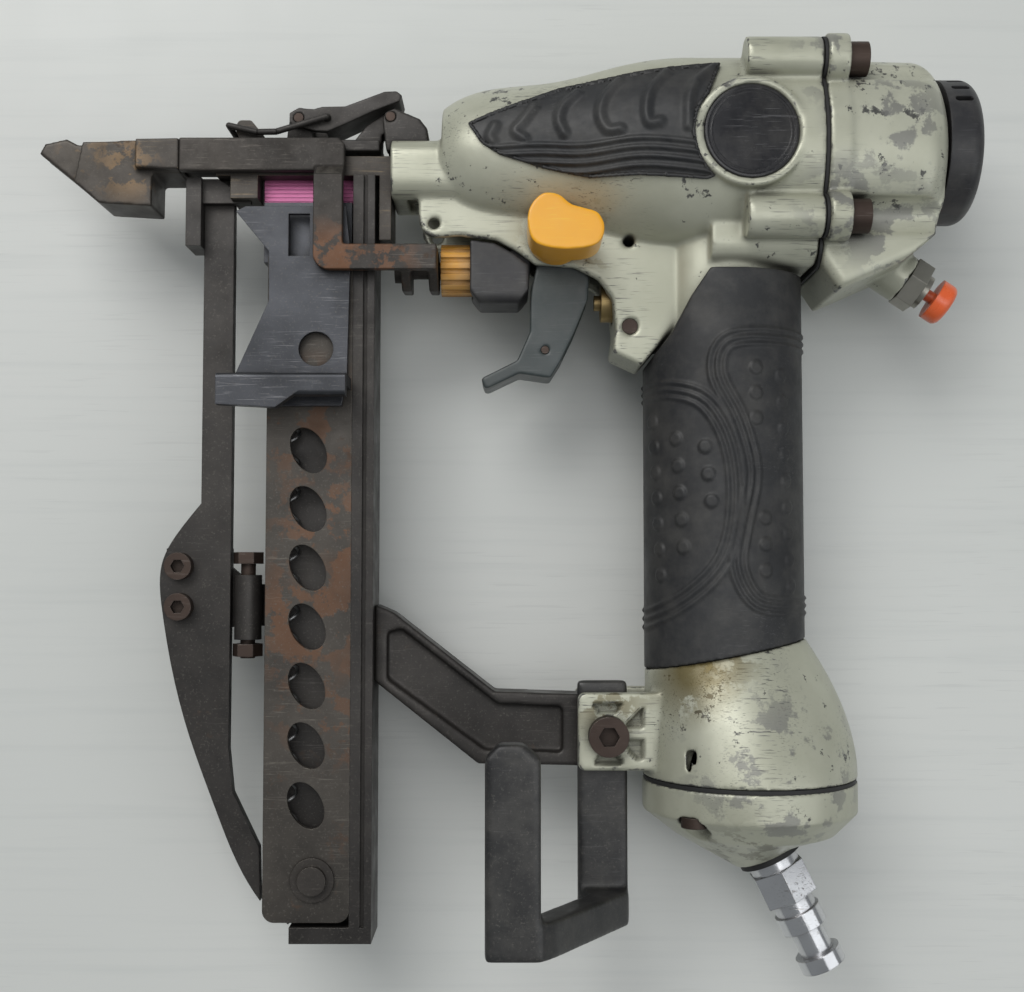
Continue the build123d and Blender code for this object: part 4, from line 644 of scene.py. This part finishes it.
# ---------------------------------------------------------------- moulded and forged pieces with soft edges
SOFT = [  # piece, CAD node, body, finish, voxel in mm, rounds of smoothing
    ("trigger_lever", "trigger", "trigger", "trigger", 0.34, 9),
    ("rod_cover", "front_cover", "body", "plastic", 0.36, 9),
    ("nose_shoe", "contact_shoe", "contact_lever", "nose_steel", 0.4, 3),
    ("lever_plate", "push_lever", "contact_lever", "rusty", 0.36, 2),
    ("nose_hinge", "hinge_block", "body", "black_steel", 0.4, 3),
    ("guide_cover", "nose_cover", "nose_cover", "black_steel", 0.36, 2),
    ("latch", "latch_lever", "latch_lever", "black_steel", 0.3, 3),
    ("support_arm", "magazine_arm", "body", "black_steel", 0.5, 3),
]
for name, node, body, key, voxel, rounds in SOFT:
    new_object(name, remeshed(joined([node]), voxel, rounds), key, body, node)


PIVOT = (13.2, 69.7)
KNOB_OUTLINE = [(6.3, 72.4), (9.4, 75.8), (13.2, 75.6), (16.2, 73.3), (19.4, 72.3), (22.9, 71.0),
                (24.4, 67.2), (22.2, 63.3), (14.5, 62.2), (7.8, 63.7), (5.9, 67.8)]


def selector_knob():
    """Moulded knob: a round head with a narrower thumb tail, a collar and the shaft through the cheeks."""
    origin = (PIVOT[0] * MM, PIVOT[1] * MM, MID)
    profile = [(-12.4, 0), (-12.4, 4), (-9.2, 4), (-9.2, 2.5), (9.2, 2.5), (9.2, 7.3), (15.5, 7.3), (15.5, 0)]
    stem = lathe(profile, origin, (0, 0, 1))
    head = prism(spline(KNOB_OUTLINE, 6, closed=True), 15, 28.4)
    bm = bmesh.new()
    bm.from_mesh(stem)
    bm.from_mesh(head)
    return remeshed(bm, 0.34, 9)


new_object("selector_knob", selector_knob(), "yellow", "mode_knob", "mode_knob")


# the strap hook is dip-coated, so its corners are much rounder
new_object("strap_hook", remeshed(joined(["belt_hook"]), 0.55, 20), "coated", "body", "belt_hook")


# ---------------------------------------------------------------- table, light and camera
def table_material():
    g = Graph("table_top")
    broad = g.noise(4, 4)
    streak = g.noise(9, 4, 0.6, (1, 30, 1), (0, 0, 0.12))
    color = g.mix(g.ramp(broad, 0.3, 0.7), (0.60, 0.62, 0.60), (0.65, 0.66, 0.64))
    color = g.mix(g.math("MULTIPLY", g.ramp(streak, 0.5, 0.75), 0.35), color, (0.52, 0.54, 0.53))
    color = g.mix(scratches(g, 0.25, 0.35), color, (0.48, 0.49, 0.48))
    g.put(g.bsdf.inputs["Base Color"], color)
    g.put(g.bsdf.inputs["Roughness"], g.ramp(g.noise(30, 3), 0.3, 0.7, 0.38, 0.5))
    return g.mat


bpy.ops.mesh.primitive_plane_add(size=4, location=(0, 0, 0))
floor = bpy.context.object
floor.name = "table_top"
floor.data.materials.append(table_material())


def area(name, place, target, size, power, color):
    light = bpy.data.lights.new(name, "AREA")
    light.shape = "RECTANGLE"
    light.size, light.size_y = size
    light.energy = power
    light.color = color
    obj = bpy.data.objects.new(name, light)
    scene.collection.objects.link(obj)
    obj.location = place
    obj.rotation_euler = (Vector(target) - Vector(place)).to_track_quat("-Z", "Y").to_euler()


area("key", (-0.45, 0.75, 1.0), (0, 0, 0), (0.9, 0.6), 9.0, (1.0, 0.99, 0.97))
area("fill", (0.9, -0.3, 0.9), (0, 0, 0), (1.0, 1.0), 3.0, (0.97, 0.99, 1.0))
area("top", (0.1, 0.1, 1.3), (0, 0, 0), (1.2, 0.5), 3.6, (1, 1, 1))
world = bpy.data.worlds.new("studio")
world.use_nodes = True
background = world.node_tree.nodes["Background"]
background.inputs["Color"].default_value = (0.80, 0.84, 0.86, 1)
background.inputs["Strength"].default_value = 0.29
scene.world = world

camera_data = bpy.data.cameras.new("camera")
camera_data.sensor_width = 36
camera_data.lens = 46.51
camera = bpy.data.objects.new("camera", camera_data)
scene.collection.objects.link(camera)
TILT = math.radians(3)
DISTANCE = 0.344  # from the mid-plane to the camera, in metres
camera.location = (0.002, 0.004 - DISTANCE * math.sin(TILT), MID + DISTANCE * math.cos(TILT))
camera.rotation_euler = (TILT, 0, 0)
camera_data.clip_start = 0.01
scene.camera = camera
scene.view_settings.view_transform = "Standard"
